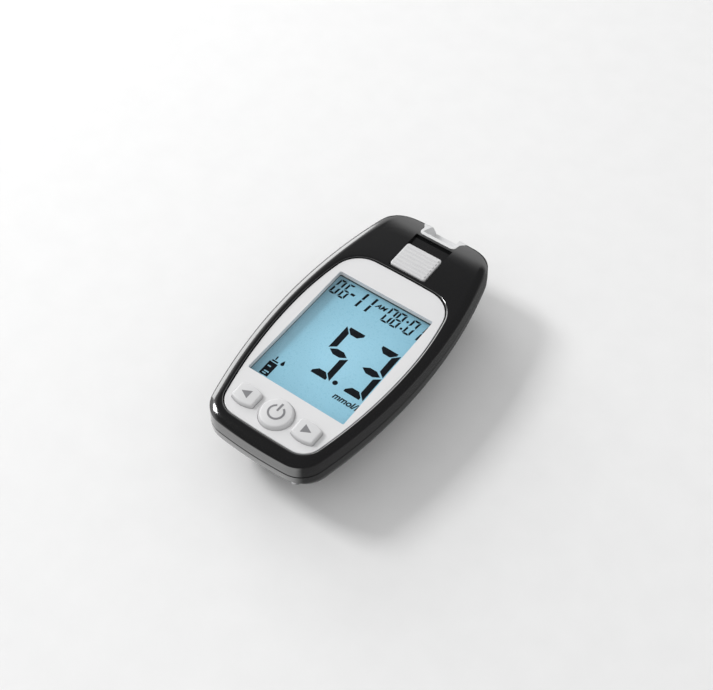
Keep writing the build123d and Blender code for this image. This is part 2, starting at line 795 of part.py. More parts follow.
# ---------------------------------------------------------------- display stack and board
def main_circuit_board():
    board = slab(case_face(board_bottom, inward=board_inset), board_thickness)
    board -= block(-case_width, case_width, board_far_y, case_length, 0, case_height)
    for x, y in mirrored(case_screw_places):
        board -= rod(case_boss_radius + board_boss_gap, x, y, 0, case_height)
    for x, y in mirrored(board_post_places):
        board -= rod(board_screw_shank_radius + board_post_hole_gap, x, y, 0, case_height)
    return board


def lcd_glass_pair():
    top = block(-lcd_half_width, lcd_half_width, lcd_near_y, lcd_far_y, lcd_top - lcd_glass, lcd_top)
    bottom = block(-lcd_half_width, lcd_half_width, lcd_near_y, lcd_far_y - lcd_contact_ledge,
                   lcd_bottom, lcd_top - lcd_glass + tiny)
    return top + bottom


def backlight_panel():
    half = lcd_half_width - backlight_side_inset
    z0 = board_top + stack_gap
    return block(-half, half, lcd_near_y + backlight_near_inset, lcd_far_y - backlight_far_inset,
                 z0, z0 + backlight_thickness)


def backlight_leds():
    sx, sy, sz = led_size
    y = lcd_near_y + backlight_near_inset - led_gap - sy / 2
    xs = [(i - (led_count - 1) / 2) * led_pitch for i in range(led_count)]
    return Compound([Pos(x, y, board_top + sz / 2) * Box(sx, sy, sz) for x in xs])


def lcd_holder():
    x, y0, y1 = lcd_half_width + holder_gap, lcd_near_y - holder_gap, lcd_far_y + holder_gap
    outer = block(-x - holder_wall, x + holder_wall, y0 - holder_wall, y1 + holder_wall,
                  board_top, lcd_top + holder_rise)
    return outer - block(-x, x, y0, y1, board_top - spare, lcd_top + spare)


def zebra_connector():
    half = lcd_half_width - zebra_side_inset
    y1 = lcd_far_y - zebra_inset
    return block(-half, half, y1 - zebra_width, y1, board_top, lcd_top - lcd_glass)


def switch_body(x, y):
    body = Pos(x, y, board_top + switch_height / 2) * Box(switch_size, switch_size, switch_height)
    corners = [e for e in body.edges() if abs(e.tangent_at().Z) > 0.9]
    body = chamfer(corners, switch_corner)
    return body - rod(plunger_radius + plunger_fit, x, y, board_top + switch_floor, switch_top + spare)


def switch_plunger(x, y):
    return rod(plunger_radius, x, y, plunger_top - plunger_length, plunger_top)


def beeper():
    x, y = beeper_place
    bottom = board_bottom - beeper_height
    body = rod(beeper_radius, x, y, bottom, board_bottom)
    return body - rod(beeper_hole_radius, x, y, 0, bottom + beeper_hole_depth)


def chip(size, place, legs):
    """Chip body under the board with a row of flat legs on two sides."""
    sx, sy, sz = size
    x, y = place
    top = board_bottom - chip_lift
    body = block(x - sx / 2, x + sx / 2, y - sy / 2, y + sy / 2, top - sz, top)
    pitch = sy / legs
    reach = sx / 2 + chip_leg_reach
    for i in range(legs):
        leg_y = y + (i - (legs - 1) / 2) * pitch
        body += block(x - reach, x + reach, leg_y - pitch / 4, leg_y + pitch / 4,
                      board_bottom - chip_leg_height, board_bottom)
    return body


def crystal_can():
    sx, sy, sz = crystal_size
    x, y = crystal_place
    return rounded_block(sx / 2, sy / 2, crystal_corner, board_bottom - sz, board_bottom, x, y)


# ---------------------------------------------------------------- rear case
def hook_slot(x):
    """Slot in the room's end wall that a door hook swings in."""
    half = door_hook_width / 2 + hook_side_gap
    reach = door_hook_reach + hook_swing_gap
    return block(x - half, x + half, room_far_y - spare, hinge_y + reach, wall - tiny,
                 wall + reach + 2 * hook_side_gap)


def door_plan(z0, z1, grow=0.0):
    """The battery door's plan pushed up: round near corners, tight corners at the hinge edge."""
    y_mid = (door_near_y + hinge_y) / 2
    length = hinge_y - door_near_y + 2 * grow
    face = Pos(0, y_mid, z0) * Rectangle(2 * (door_half_width + grow), length)
    near = [v for v in face.vertices() if v.Y < y_mid]
    face = fillet(near, door_corner + grow)
    at_hinge = [v for v in face.vertices() if v.Y > hinge_y + grow - tiny]
    return slab(fillet(at_hinge, door_hinge_corner + grow), z1 - z0)


def rear_case():
    case = hull(0.0, 0.0) - inner_hull(wall, wall)
    # room for the cells
    core = inner_hull(wall / 2, wall / 2)
    room_x = room_half_width + room_side_wall
    room = block(-room_x, room_x, room_near_y - room_wall, room_far_y + room_wall, 0, room_top + room_ceiling)
    case += room & core
    case -= block(-room_half_width, room_half_width, room_near_y, room_far_y, -spare, room_top)
    # door opening in the base, and slots for the door's hooks
    case -= door_plan(-spare, wall, door_gap)
    for side in (-1, 1):
        case -= hook_slot(side * door_hook_x)
    # latch pocket and the notch for a fingertip
    latch_room = latch_width / 2 + door_gap
    case -= block(-latch_room, latch_room, door_near_y - latch_gap, room_near_y + spare, -spare,
                  door_recess + door_thickness + latch_height + latch_gap)
    case -= Pos(0, door_near_y - finger_notch_shift, finger_notch_depth - finger_notch_radius) * Sphere(
        finger_notch_radius)
    # tubes for the case screws, open to the outside
    for x, y in mirrored(case_screw_places):
        case += rod(case_tube_radius, x, y, wall / 2, case_boss_end) & core
    for x, y in mirrored(case_screw_places):
        case -= rod(case_screw_head_radius + case_screw_clearance, x, y, -spare, case_screw_seat)
        case -= rod(case_screw_shank_radius + case_screw_clearance, x, y, 0, case_boss_end + spare)
    # notch for the strip-port guide
    case -= slab(port_face(case_height - guide_depth - guide_gap), guide_depth)
    return case - parting_ring()


# ---------------------------------------------------------------- battery door
def door_hook():
    """Hook that reaches over the case floor inside the hinge edge."""
    half = door_hook_width / 2
    y0 = hinge_y - door_thickness / 2
    z0 = wall + door_lip_gap
    neck = block(-half, half, y0 - door_hook_thickness, y0, hinge_z, z0 + door_hook_thickness)
    far_y = hinge_y + door_hook_reach
    reach = block(-half, half, y0 - tiny, far_y, z0, z0 + door_hook_thickness)
    tip = [e for e in reach.edges() if abs(e.tangent_at().X) > 0.9 and e.center().Y > far_y - tiny]
    return neck + fillet(tip, door_hook_round)


def battery_door():
    top = door_recess + door_thickness
    door = door_plan(door_recess, top) & hull(door_recess, 0.0)
    # the hinge edge is round, and only as wide as the straight part of the edge
    edge_y = hinge_y - door_thickness / 2
    door -= block(-case_width, case_width, edge_y, case_length, 0, case_height)
    barrel_half = door_half_width - door_hinge_corner - door_gap
    door += Pos(0, edge_y, hinge_z) * Rot(0, 90, 0) * Cylinder(door_thickness / 2, 2 * barrel_half)
    hook = door_hook()
    for side in (-1, 1):
        door += Pos(side * door_hook_x, 0, 0) * hook
    # springy latch tab that stands up inside the near wall
    tab_y = door_near_y + latch_inset
    door += block(-latch_width / 2, latch_width / 2, tab_y, tab_y + latch_thickness, hinge_z,
                  top + latch_height)
    # grip grooves beside the latch
    groove = Rot(0, 90, 0) * Cylinder(door_groove_radius, latch_width + 2 * door_groove_side)
    for i in range(door_grooves):
        door -= Pos(0, door_near_y + door_groove_inset + i * door_groove_pitch, door_recess) * groove
    return door


# ---------------------------------------------------------------- cells and their contacts
def cell(way):
    """AAA cell along Y with its tip towards way, a stepped round body."""
    body_length = cell_length - cell_tip_length
    shoulder = cell_radius - cell_end_bevel
    profile = Polyline((0, 0), (shoulder, 0), (cell_radius, cell_end_bevel),
                       (cell_radius, body_length - cell_end_bevel), (shoulder, body_length),
                       (cell_tip_radius, body_length), (cell_tip_radius, cell_length - cell_tip_bevel),
                       (cell_tip_radius - cell_tip_bevel, cell_length), (0, cell_length), close=True)
    body = revolve(Plane.XZ * make_face(profile), Axis.Z)
    return Rot(-90 * way, 0, 0) * body


def cell_in_place(side, way):
    """A cell whose tip end touches the flat plate on the wall that it points at."""
    wall_y = room_far_y if way > 0 else room_near_y
    start_y = wall_y - way * (contact_plate + cell_length + cell_end_gap)
    return Pos(side * cell_x, start_y, cell_z) * cell(way)


def contact_at(side, wall_y, way):
    """Plate on the room's end wall; way is the direction from the wall into the room."""
    y1 = wall_y + way * contact_plate
    z0 = cell_z - cell_contact_drop
    return block(side * cell_x - cell_contact_half_width, side * cell_x + cell_contact_half_width,
                 min(wall_y, y1), max(wall_y, y1), z0, z0 + cell_contact_height)


def contact_spring(side, wall_y, way):
    """Conical coil from the plate to the cell's flat end."""
    length = spring_space - 2 * contact_plate - cell_spring_air
    taper = degrees(atan2(cell_spring_radius_big - cell_spring_radius_small, length))
    coil = helix_spring(cell_spring_radius_big, cell_spring_wire, cell_spring_turns, length, -taper)
    return Pos(side * cell_x, wall_y + way * contact_plate, cell_z) * Rot(-90 * way, 0, 0) * coil


def battery_bridge_contact():
    """Joins the two cells at the near end."""
    z0 = cell_z - cell_contact_drop
    plates = contact_at(-1, room_near_y, 1) + contact_at(1, room_near_y, 1)
    strap = block(-cell_x, cell_x, room_near_y, room_near_y + contact_plate, z0, z0 + bridge_strap_height)
    return Compound([*(plates + strap).solids(), *contact_spring(-1, room_near_y, 1).solids()])


def battery_spring_contact():
    return Compound([*contact_at(1, room_far_y, -1).solids(), *contact_spring(1, room_far_y, -1).solids()])


def battery_flat_contact():
    return contact_at(-1, room_far_y, -1)


# ---------------------------------------------------------------- screws
def pan_screw(head_radius, head_height, shank_radius, length):
    """Screw pointing up, its head's seat at z = 0 and a cross recess in the head."""
    head = Pos(0, 0, -head_height / 2) * Cylinder(head_radius, head_height)
    head = chamfer(edges_at(head, -head_height), head_chamfer_share * head_height)
    screw = head + Pos(0, 0, length / 2) * Cylinder(shank_radius, length)
    slot = Box(recess_length_share * head_radius, recess_width_share * head_radius, head_height)
    for turn in (0, 90):
        screw -= Pos(0, 0, -head_height) * Rot(0, 0, turn) * slot
    return screw


def case_screws():
    screw = pan_screw(case_screw_head_radius, case_screw_head_height, case_screw_shank_radius,
                      case_screw_length)
    return Compound([s for x, y in mirrored(case_screw_places)
                     for s in (Pos(x, y, case_screw_seat) * screw).solids()])


def board_screws():
    screw = pan_screw(board_screw_head_radius, board_screw_head_height, board_screw_shank_radius,
                      board_screw_length)
    return Compound([s for x, y in mirrored(board_post_places)
                     for s in (Pos(x, y, board_bottom) * screw).solids()])


# ---------------------------------------------------------------- write every piece
save("front_cover", front_cover())
save("face_plate", face_plate())
save("display_lens", display_lens())
save("power_button", power_button())
for side, label in ((-1, "left"), (1, "right")):
    save(f"{label}_button", arrow_button(side))
save("eject_slider", eject_slider())
save("eject_pusher", eject_pusher())
save("slider_return_spring", slider_return_spring())
save("strip_port_guide", strip_port_guide())
save("strip_connector", strip_connector())
save("strip_contacts", strip_contacts())
save("main_circuit_board", main_circuit_board())
save("lcd_glass", lcd_glass_pair())
save("backlight_panel", backlight_panel())
save("backlight_leds", backlight_leds())
save("lcd_holder", lcd_holder())
save("zebra_connector", zebra_connector())
for label, x, y in (("power", 0, power_y), ("left", -arrow_x, arrow_y), ("right", arrow_x, arrow_y)):
    save(f"{label}_switch", switch_body(x, y))
    save(f"{label}_switch_plunger", switch_plunger(x, y))
save("beeper", beeper())
save("main_chip", chip(main_chip_size, main_chip_place, 8))
save("analog_chip", chip(analog_chip_size, analog_chip_place, 4))
save("crystal_can", crystal_can())
save("rear_case", rear_case())
save("battery_door", battery_door())
save("battery_1", cell_in_place(-1, 1))
save("battery_2", cell_in_place(1, -1))
save("battery_bridge_contact", battery_bridge_contact())
save("battery_spring_contact", battery_spring_contact())
save("battery_flat_contact", battery_flat_contact())
save("case_screws", case_screws())
save("board_screws", board_screws())
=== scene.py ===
# %% [markdown]
# # A blood glucose meter in Blender
# The meter is a bowed black case with a satin silver face plate, a pale blue display under a
# clear lens, three push buttons, a ribbed eject slider and a milky white strip port.
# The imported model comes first. It is the fixed frame that each Blender piece sits on and rides with.

# %% Load the frame
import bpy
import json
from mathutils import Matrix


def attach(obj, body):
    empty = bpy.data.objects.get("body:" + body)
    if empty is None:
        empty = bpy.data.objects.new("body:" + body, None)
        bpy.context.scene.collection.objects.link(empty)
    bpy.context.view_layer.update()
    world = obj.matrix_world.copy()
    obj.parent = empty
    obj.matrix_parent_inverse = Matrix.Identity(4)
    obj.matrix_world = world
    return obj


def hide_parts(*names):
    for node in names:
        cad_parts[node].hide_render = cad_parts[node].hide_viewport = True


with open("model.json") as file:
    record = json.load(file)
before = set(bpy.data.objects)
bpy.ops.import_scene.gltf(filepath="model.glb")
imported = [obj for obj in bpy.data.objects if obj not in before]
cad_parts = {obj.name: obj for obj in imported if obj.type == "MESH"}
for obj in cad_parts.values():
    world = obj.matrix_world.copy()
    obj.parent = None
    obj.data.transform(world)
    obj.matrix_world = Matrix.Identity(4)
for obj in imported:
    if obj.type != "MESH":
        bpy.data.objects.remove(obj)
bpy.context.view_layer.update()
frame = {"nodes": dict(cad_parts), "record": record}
nodes = frame["nodes"]

# %% [markdown]
# The camera stands high on the user's right and looks down at the display, with a lens of about
# 59 mm. It is made first, so that each later piece can be looked at from the same place.
# Its three axes are given outright, which keeps its small roll.

# %% Camera
import bpy
import bmesh
import json
import numpy as np
from math import atan2, cos, pi, radians, sin, sqrt
from mathutils import Matrix, Vector

MM = 0.001
scene = bpy.context.scene
scene.view_settings.view_transform = "Standard"


def put(name, data):
    """A new object in the scene."""
    obj = bpy.data.objects.new(name, data)
    scene.collection.objects.link(obj)
    return obj


def axes_matrix(right, up, back, place_mm):
    """A placement matrix from three axes and a place in millimetres."""
    matrix = Matrix((right, up, back)).transposed().to_4x4()
    matrix.translation = Vector(place_mm) * MM
    return matrix


camera_data = bpy.data.cameras.new("view_camera")
camera_data.sensor_fit = "HORIZONTAL"
camera_data.sensor_width = 36.0
camera_data.lens = 58.547
camera_data.clip_start = 0.01
camera = put("view_camera", camera_data)
camera.matrix_world = axes_matrix(
    (0.80981346, 0.58667551, 0.00374253),
    (-0.46834481, 0.64260821, 0.60638918),
    (0.3533487, -0.49281491, 0.7951592),
    (111.65, -155.26, 264.20))
scene.camera = camera
print("camera at", tuple(round(v, 4) for v in camera.location))

# %% [markdown]
# Moulded plastic is never one flat colour. Each finish below gets three layers of detail from
# noise on Object coordinates: slow drift in the colour, fine change in the roughness and a very
# shallow bump. Object coordinates are metres, so a grain of 0.2 mm needs a scale of 5000.

# %% One recipe for moulded and painted finishes


def find(tree, kind):
    """The first node of that type."""
    return next(n for n in tree.nodes if n.type == kind)


def new_material(name):
    """An empty node material with a Principled shader, as (material, tree, shader)."""
    mat = bpy.data.materials.new(name)
    mat.use_nodes = True
    tree = mat.node_tree
    shader = find(tree, "BSDF_PRINCIPLED")
    return mat, tree, shader


def add_node(tree, kind, links=None, **values):
    """A node with values set by socket name and links given as {socket: output}."""
    node = tree.nodes.new(kind)
    for label, value in values.items():
        socket_name = label.replace("_", " ")
        if socket_name in node.inputs:
            node.inputs[socket_name].default_value = value
        else:
            setattr(node, label, value)
    for label, output in (links or {}).items():
        tree.links.new(output, node.inputs[label])
    return node


def arithmetic(tree, operation, *items, kind="ShaderNodeMath"):
    """The result of a math node whose inputs are sockets or plain values."""
    node = add_node(tree, kind, operation=operation)
    for socket, item in zip(node.inputs, items):
        if isinstance(item, bpy.types.NodeSocket):
            tree.links.new(item, socket)
        else:
            socket.default_value = item
    return next(output for output in node.outputs if output.enabled)


def vector_arithmetic(tree, operation, *items):
    return arithmetic(tree, operation, *items, kind="ShaderNodeVectorMath")


def noise(tree, size_mm, detail=3.0, stretch=(1, 1, 1)):
    """A noise on Object coordinates whose features are about size_mm across."""
    coords = add_node(tree, "ShaderNodeTexCoord")
    mapping = add_node(tree, "ShaderNodeMapping", {"Vector": coords.outputs["Object"]}, Scale=stretch)
    texture = add_node(tree, "ShaderNodeTexNoise", {"Vector": mapping.outputs["Vector"]},
                       Scale=1 / (size_mm * MM), Detail=detail)
    return texture.outputs["Fac"]


def spread(tree, value, low, high, start=0.3, stop=0.7, **settings):
    """Maps start..stop, by default the middle of a noise, onto low..high."""
    node = add_node(tree, "ShaderNodeMapRange", {"Value": value}, From_Min=start, From_Max=stop,
                    To_Min=low, To_Max=high, **settings)
    return node.outputs["Result"]


def blend_colours(tree, factor, first, second):
    """A colour between first and second."""
    node = add_node(tree, "ShaderNodeMix", {"Factor": factor}, data_type="RGBA",
                    A=(*first, 1), B=(*second, 1))
    return node.outputs["Result"]


def add_bump(tree, shader, height, depth_mm):
    """Bump of about depth_mm on the shader's normal."""
    node = add_node(tree, "ShaderNodeBump", {"Height": height}, Distance=depth_mm * MM, Strength=1.0)
    tree.links.new(node.outputs["Normal"], shader.inputs["Normal"])


def finish(name, colour, rough, drift=0.06, grain_mm=0.25, bump_mm=0.002, coat=0.0, metallic=0.0,
           ior=1.5, stretch=(1, 1, 1)):
    """A moulded, painted or plated surface."""
    mat, tree, shader = new_material(name)
    slow = spread(tree, noise(tree, 9.0, 2.0), 0.0, 1.0)
    low = tuple(c * (1 - drift) for c in colour)
    high = tuple(min(c * (1 + drift), 1.0) for c in colour)
    tree.links.new(blend_colours(tree, slow, low, high), shader.inputs["Base Color"])
    fine = noise(tree, grain_mm, 4.0, stretch)
    tree.links.new(spread(tree, fine, rough * 0.82, rough * 1.18), shader.inputs["Roughness"])
    add_bump(tree, shader, fine, bump_mm)
    shader.inputs["Metallic"].default_value = metallic
    shader.inputs["IOR"].default_value = ior
    shader.inputs["Coat Weight"].default_value = coat
    shader.inputs["Coat Roughness"].default_value = 0.04
    return mat


mats = {
    "black_gloss": finish("piano_black", (0.005, 0.005, 0.0055), 0.12, 0.1, 0.5, 0.0004,
                          coat=0.3, ior=2.1),
    "black_case": finish("lower_shell_black", (0.007, 0.007, 0.0075), 0.22, 0.1, 0.4, 0.0006,
                         coat=0.6, ior=2.1),
    "face_silver": finish("satin_silver_paint", (0.685, 0.685, 0.69), 0.36, 0.015, 0.12, 0.001, coat=0.25),
    "button_grey": finish("button_satin", (0.61, 0.61, 0.615), 0.42, 0.02, 0.15, 0.0015),
    "slider_silver": finish("slider_satin", (0.60, 0.60, 0.605), 0.40, 0.02, 0.15, 0.0015),
    "white_plastic": finish("moulded_white", (0.80, 0.80, 0.78), 0.45),
    "port_white": finish("milky_white", (0.66, 0.665, 0.67), 0.30, 0.015, 0.3, 0.001, coat=0.2),
    "steel": finish("plated_steel", (0.60, 0.60, 0.61), 0.28, 0.04, 0.2, 0.001, metallic=1.0,
                    stretch=(1, 1, 6)),
    "black_insulator": finish("moulded_black", (0.03, 0.03, 0.03), 0.5),
    "gold_contact": finish("gold_plate", (0.85, 0.62, 0.28), 0.25, 0.04, 0.2, 0.001, metallic=1.0),
    "board_green": finish("solder_mask", (0.02, 0.16, 0.07), 0.35, 0.1, 0.6, 0.004, coat=0.4),
    "light_guide": finish("light_guide", (0.78, 0.88, 0.93), 0.2),
    "led_white": finish("led_body", (0.9, 0.9, 0.78), 0.4),
    "grey_elastomer": finish("grey_rubber", (0.35, 0.35, 0.37), 0.6),
    "lcd": finish("display_blue", (0.23, 0.465, 0.57), 0.30, 0.03, 0.5, 0.0004),
    "ink": finish("display_ink", (0.008, 0.009, 0.012), 0.6, 0.05, 0.3, 0.0004, ior=1.15),
    "grey_print": finish("button_print", (0.20, 0.20, 0.21), 0.5, 0.05, 0.2, 0.0004),
}

# the display shines by itself as a backlit screen does; its light is weaker towards the window's edges,
# which is painted shade from the plate's rim
tree = mats["lcd"].node_tree
backlit = find(tree, "BSDF_PRINCIPLED")
coords = add_node(tree, "ShaderNodeTexCoord")
centred = add_node(tree, "ShaderNodeMapping", {"Vector": coords.outputs["Object"]}, vector_type="TEXTURE",
                   Location=(1.0 * MM, -8.0 * MM, 17.7 * MM), Scale=(32.0 * MM, 37.0 * MM, 34.0 * MM))
middle_bright_rim_shade = add_node(tree, "ShaderNodeTexGradient", {"Vector": centred.outputs["Vector"]},
                    gradient_type="SPHERICAL")
backlight_and_painted_rim_shade = spread(tree, middle_bright_rim_shade.outputs["Fac"], 0.10, 0.255, 0.3, 1.0)
tree.links.new(backlight_and_painted_rim_shade, backlit.inputs["Emission Strength"])
backlit.inputs["Emission Color"].default_value = (0.69, 0.88, 0.98, 1)
print("finishes", len(mats))

# %% [markdown]
# The clear lens must let the display show and still catch a soft reflection. A clear shader
# mixed with a sharp gloss by Fresnel does that with no noise, and shadows pass through it. Only
# the outer face mirrors. Seen from inside, the lens would turn into a black mirror at low angles.

# %% Clear lens finish
lens_mat, tree, shader = new_material("clear_lens")
tree.nodes.remove(shader)
clear = add_node(tree, "ShaderNodeBsdfTransparent", Color=(0.95, 0.975, 0.985, 1))
gloss = add_node(tree, "ShaderNodeBsdfGlossy", {"Roughness": spread(tree, noise(tree, 0.6), 0.02, 0.05)})
fresnel = add_node(tree, "ShaderNodeFresnel", IOR=1.45)
facing = add_node(tree, "ShaderNodeNewGeometry")
outer_only = add_node(tree, "ShaderNodeMix",
                      {"Factor": facing.outputs["Backfacing"], "A": fresnel.outputs["Fac"]}, B=0.0)
mix = add_node(tree, "ShaderNodeMixShader", {"Fac": outer_only.outputs["Result"],
                                             1: clear.outputs["BSDF"], 2: gloss.outputs["BSDF"]})
tree.links.new(mix.outputs["Shader"], find(tree, "OUTPUT_MATERIAL").inputs["Surface"])
mats["clear_lens"] = lens_mat
print("lens finish made")

# %% [markdown]
# Each outer piece is a stack of rings. A ring is a closed line of points with the same count as
# its neighbours, so that a skin of quads joins them, and a fillet is only a few rings close
# together. The case and the plate share one plan rule: bowed sides and ends, joined by corner
# arcs that touch both. The function below walks round that plan and also gives the outward
# direction at each point, which is what an offset or a rolled edge needs.

# %% Plan outlines
END_STEPS, SIDE_STEPS = 12, 26
NEAR_CORNER_STEPS, FAR_CORNER_STEPS = 9, 12


def bowed_plan(half_w, near_y, far_y, wide_y, sides, ends, corners, grow=0.0):
    """Points and outward directions of a plan, anticlockwise from the middle of the near end."""
    half_w, near_y, far_y = half_w + grow, near_y - grow, far_y + grow
    sides, ends, corners = [tuple(r + grow for r in group) for group in (sides, ends, corners)]

    def quadrant(sy, side, end, corner, end_y):
        side_c = np.array((half_w - side, wide_y))
        end_c = np.array((0.0, end_y - sy * end))
        gap = end_c - side_c
        length = np.hypot(*gap)
        along = (length ** 2 + (side - corner) ** 2 - (end - corner) ** 2) / (2 * length)
        across = sqrt((side - corner) ** 2 - along ** 2)
        unit = gap / length
        turned = np.array((-unit[1], unit[0]))
        centre = max((side_c + unit * along + turned * s * across for s in (-1, 1)),
                     key=lambda p: p[0] + sy * p[1])
        on_side = centre - side_c
        on_end = centre - end_c
        return side_c, centre, end_c, atan2(on_side[1], on_side[0]), atan2(on_end[1], on_end[0])

    near = quadrant(-1, sides[0], ends[0], corners[0], near_y)
    far = quadrant(1, sides[1], ends[1], corners[1], far_y)
    arcs = [
        (near[2], ends[0], -pi / 2, near[4], END_STEPS),
        (near[1], corners[0], near[4], near[3], NEAR_CORNER_STEPS),
        (near[0], sides[0], near[3], 0.0, SIDE_STEPS),
        (far[0], sides[1], 0.0, far[3], SIDE_STEPS),
        (far[1], corners[1], far[3], far[4], FAR_CORNER_STEPS),
        (far[2], ends[1], far[4], pi / 2, END_STEPS),
    ]
    points, normals = [], []
    for centre, radius, start, stop, count in arcs:
        for angle in np.linspace(start, stop, count, endpoint=False):
            normals.append((cos(angle), sin(angle)))
            points.append(centre + radius * np.array(normals[-1]))
    points.append((0.0, far_y))
    normals.append((0.0, 1.0))
    points, normals = np.array(points), np.array(normals)
    left = slice(-2, 0, -1)
    flip = np.array((-1, 1))
    return np.vstack((points, points[left] * flip)), np.vstack((normals, normals[left] * flip))


case_height, parting, plate_top, plate_seat, ledge_bottom = 21.0, 16.0, 20.6, 19.0, 17.8
half_length, half_width, wall = 45.0, 22.7, 1.5
window_y, power_y, arrow_y, slider_y = -6.16, -34.1, -34.0, 28.7
ARROWS = {"left": -9.55, "right": 9.55}
SCREWS = ((14.8, 30.5), (-14.8, 30.5), (10.5, -40.2), (-10.5, -40.2))


def case_plan(grow=0.0, tuck=0.0, near_tuck=0.0):
    """The case's plan; tuck draws it in as the lower shell does, more at the near end."""
    relax = tuck / 4
    return bowed_plan(half_width - tuck, -half_length + near_tuck, half_length - tuck, 0.0,
                      sides=(150.0 - tuck, 150.0 - tuck), ends=(120.0 - tuck, 120.0 - tuck),
                      corners=(8.0 - relax, 9.0 - relax), grow=grow)


def plate_plan(grow=0.0):
    return bowed_plan(19.25, -40.6, 22.9, -1.8, sides=(140.0, 95.0), ends=(300.0, 300.0),
                      corners=(6.0, 8.5), grow=grow)


print("points in a ring", len(case_plan()[0]))

# %% [markdown]
# These helpers turn rings into a closed mesh, cut one mesh with another, round the sharp edges
# that a cut leaves, and finish a piece: smooth shading except over sharp edges, its material,
# the body it rides on, the CAD nodes it stands for and the material slot.

# %% Mesh helpers


def add_object(name, vertices, faces):
    """A mesh object from millimetres."""
    mesh = bpy.data.meshes.new(name)
    mesh.from_pydata([tuple(float(c) * MM for c in v) for v in vertices], [], faces)
    mesh.update()
    return put(name, mesh)


def skin(name, rings):
    """A closed mesh through rings of equal count; the first ring is the lowest outer one."""
    count = len(rings[0])
    vertices = [p for ring in rings for p in ring]
    faces = []
    for low, high in zip(range(len(rings) - 1), range(1, len(rings))):
        for i in range(count):
            j = (i + 1) % count
            faces.append((low * count + i, low * count + j, high * count + j, high * count + i))
    faces.append(tuple(reversed(range(count))))
    faces.append(tuple(range((len(rings) - 1) * count, len(rings) * count)))
    return add_object(name, vertices, faces)


def ring(plan, z, inset=0.0):
    """A plan lifted to height z, moved inward along its own directions; z may vary by point."""
    points, normals = plan
    inset = np.broadcast_to(inset, len(points))[:, None]
    flat = points - normals * inset
    return np.column_stack((flat, np.broadcast_to(z, len(points))))


def slab(name, outline, z0, z1):
    """A straight block over an outline."""
    return skin(name, [[(x, y, z) for x, y in outline] for z in (z0, z1)])


def box_mesh(name, x0, x1, y0, y1, z0, z1):
    return slab(name, ((x0, y0), (x1, y0), (x1, y1), (x0, y1)), z0, z1)


def rounded_plan(half_x, half_y, corner, x=0.0, y=0.0, steps=8):
    """Points and directions of a rounded rectangle."""
    points, normals = [], []
    for sx, sy, start in ((1, -1, -pi / 2), (1, 1, 0), (-1, 1, pi / 2), (-1, -1, pi)):
        for angle in np.linspace(start, start + pi / 2, steps + 1):
            normals.append((cos(angle), sin(angle)))
            points.append((x + sx * (half_x - corner) + corner * cos(angle),
                           y + sy * (half_y - corner) + corner * sin(angle)))
    return np.array(points), np.array(normals)


def round_plan(radius, x=0.0, y=0.0, steps=72):
    angles = np.linspace(0, 2 * pi, steps, endpoint=False)
    normals = np.column_stack((np.cos(angles), np.sin(angles)))
    return normals * radius + (x, y), normals


def prism(name, plan, z0, z1):
    return skin(name, [ring(plan, z0), ring(plan, z1)])


def evaluated(obj):
    """Replaces the object's mesh with its modifiers' result and drops the modifiers."""
    graph = bpy.context.evaluated_depsgraph_get()
    mesh = bpy.data.meshes.new_from_object(obj.evaluated_get(graph), preserve_all_data_layers=True,
                                           depsgraph=graph)
    obj.modifiers.clear()
    obj.data = mesh
    return obj


def combine(target, others, operation="DIFFERENCE"):
    """Exact cuts or joins, one after the other."""
    for other in others:
        modifier = target.modifiers.new("cut", "BOOLEAN")
        modifier.operation = operation
        modifier.solver = "EXACT"
        modifier.object = other
        evaluated(target)
        bpy.data.objects.remove(other)
    return target


def soften(obj, width_mm, angle=35, segments=2, where=None):
    """Rounds the sharp edges, all of them or those whose middle satisfies where (millimetres)."""
    bm = bmesh.new()
    bm.from_mesh(obj.data)
    bmesh.ops.remove_doubles(bm, verts=bm.verts, dist=2e-6)
    bmesh.ops.dissolve_degenerate(bm, dist=2e-6, edges=bm.edges)
    edges = []
    for e in bm.edges:
        if len(e.link_faces) == 2 and e.calc_face_angle(0) > radians(angle):
            middle = (e.verts[0].co + e.verts[1].co) / 2 / MM
            if where is None or where(middle):
                edges.append(e)
    bmesh.ops.bevel(bm, geom=edges, offset=width_mm * MM, offset_type="OFFSET", segments=segments,
                    profile=0.5, affect="EDGES", clamp_overlap=True)
    bmesh.ops.recalc_face_normals(bm, faces=bm.faces)
    bm.to_mesh(obj.data)
    bm.free()
    return obj


def dress(obj, material, body, replaced=(), smooth=32):
    """The last step of every piece."""
    mesh = obj.data
    for polygon in mesh.polygons:
        polygon.use_smooth = True
    mesh.set_sharp_from_angle(angle=radians(smooth))
    obj.modifiers.new("weighted", "WEIGHTED_NORMAL").keep_sharp = True
    evaluated(obj)
    if material is not None:
        obj.data.materials.clear()
        obj.data.materials.append(mats[material])
    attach(obj, body)
    if replaced:
        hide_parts(*replaced)
    print(obj.name, "faces", len(obj.data.polygons))
    return obj

# %% [markdown]
# ## Front cover
# The black cover is a thick bowed bezel. Its face is flat and then rolls down towards the strip
# port. The shoulder falls about 1 mm to a crisp edge at the top of the side wall, which leans in
# a little, and that edge draws a fine light line round the case. The face plate lies in a recess
# whose edge is rounded, because that edge catches light too. From outside to inside the rings
# are: the side wall, the rolled rim, the face, the recess lip and the recess wall. The track,
# the port notch and the display opening are cut afterwards.

# %% Front cover
roll_start, roll_length, roll_drop = half_length - 9.0, 9.0, 2.4
roll_radius = (roll_length ** 2 + roll_drop ** 2) / (2 * roll_drop)
crisp_radius, wall_lean = 0.25, 0.25


def face_height(y):
    """Height of the bezel's face at y: flat, then rolling down to the strip port."""
    along = np.clip(np.asarray(y, float) - roll_start, 0, roll_radius)
    return case_height - (roll_radius - np.sqrt(roll_radius ** 2 - along ** 2))


def on_face(flat, below=0.0):
    """A ring over flat points that lies on the bezel's face or a little below it."""
    return np.column_stack((flat, face_height(flat[:, 1]) - below))


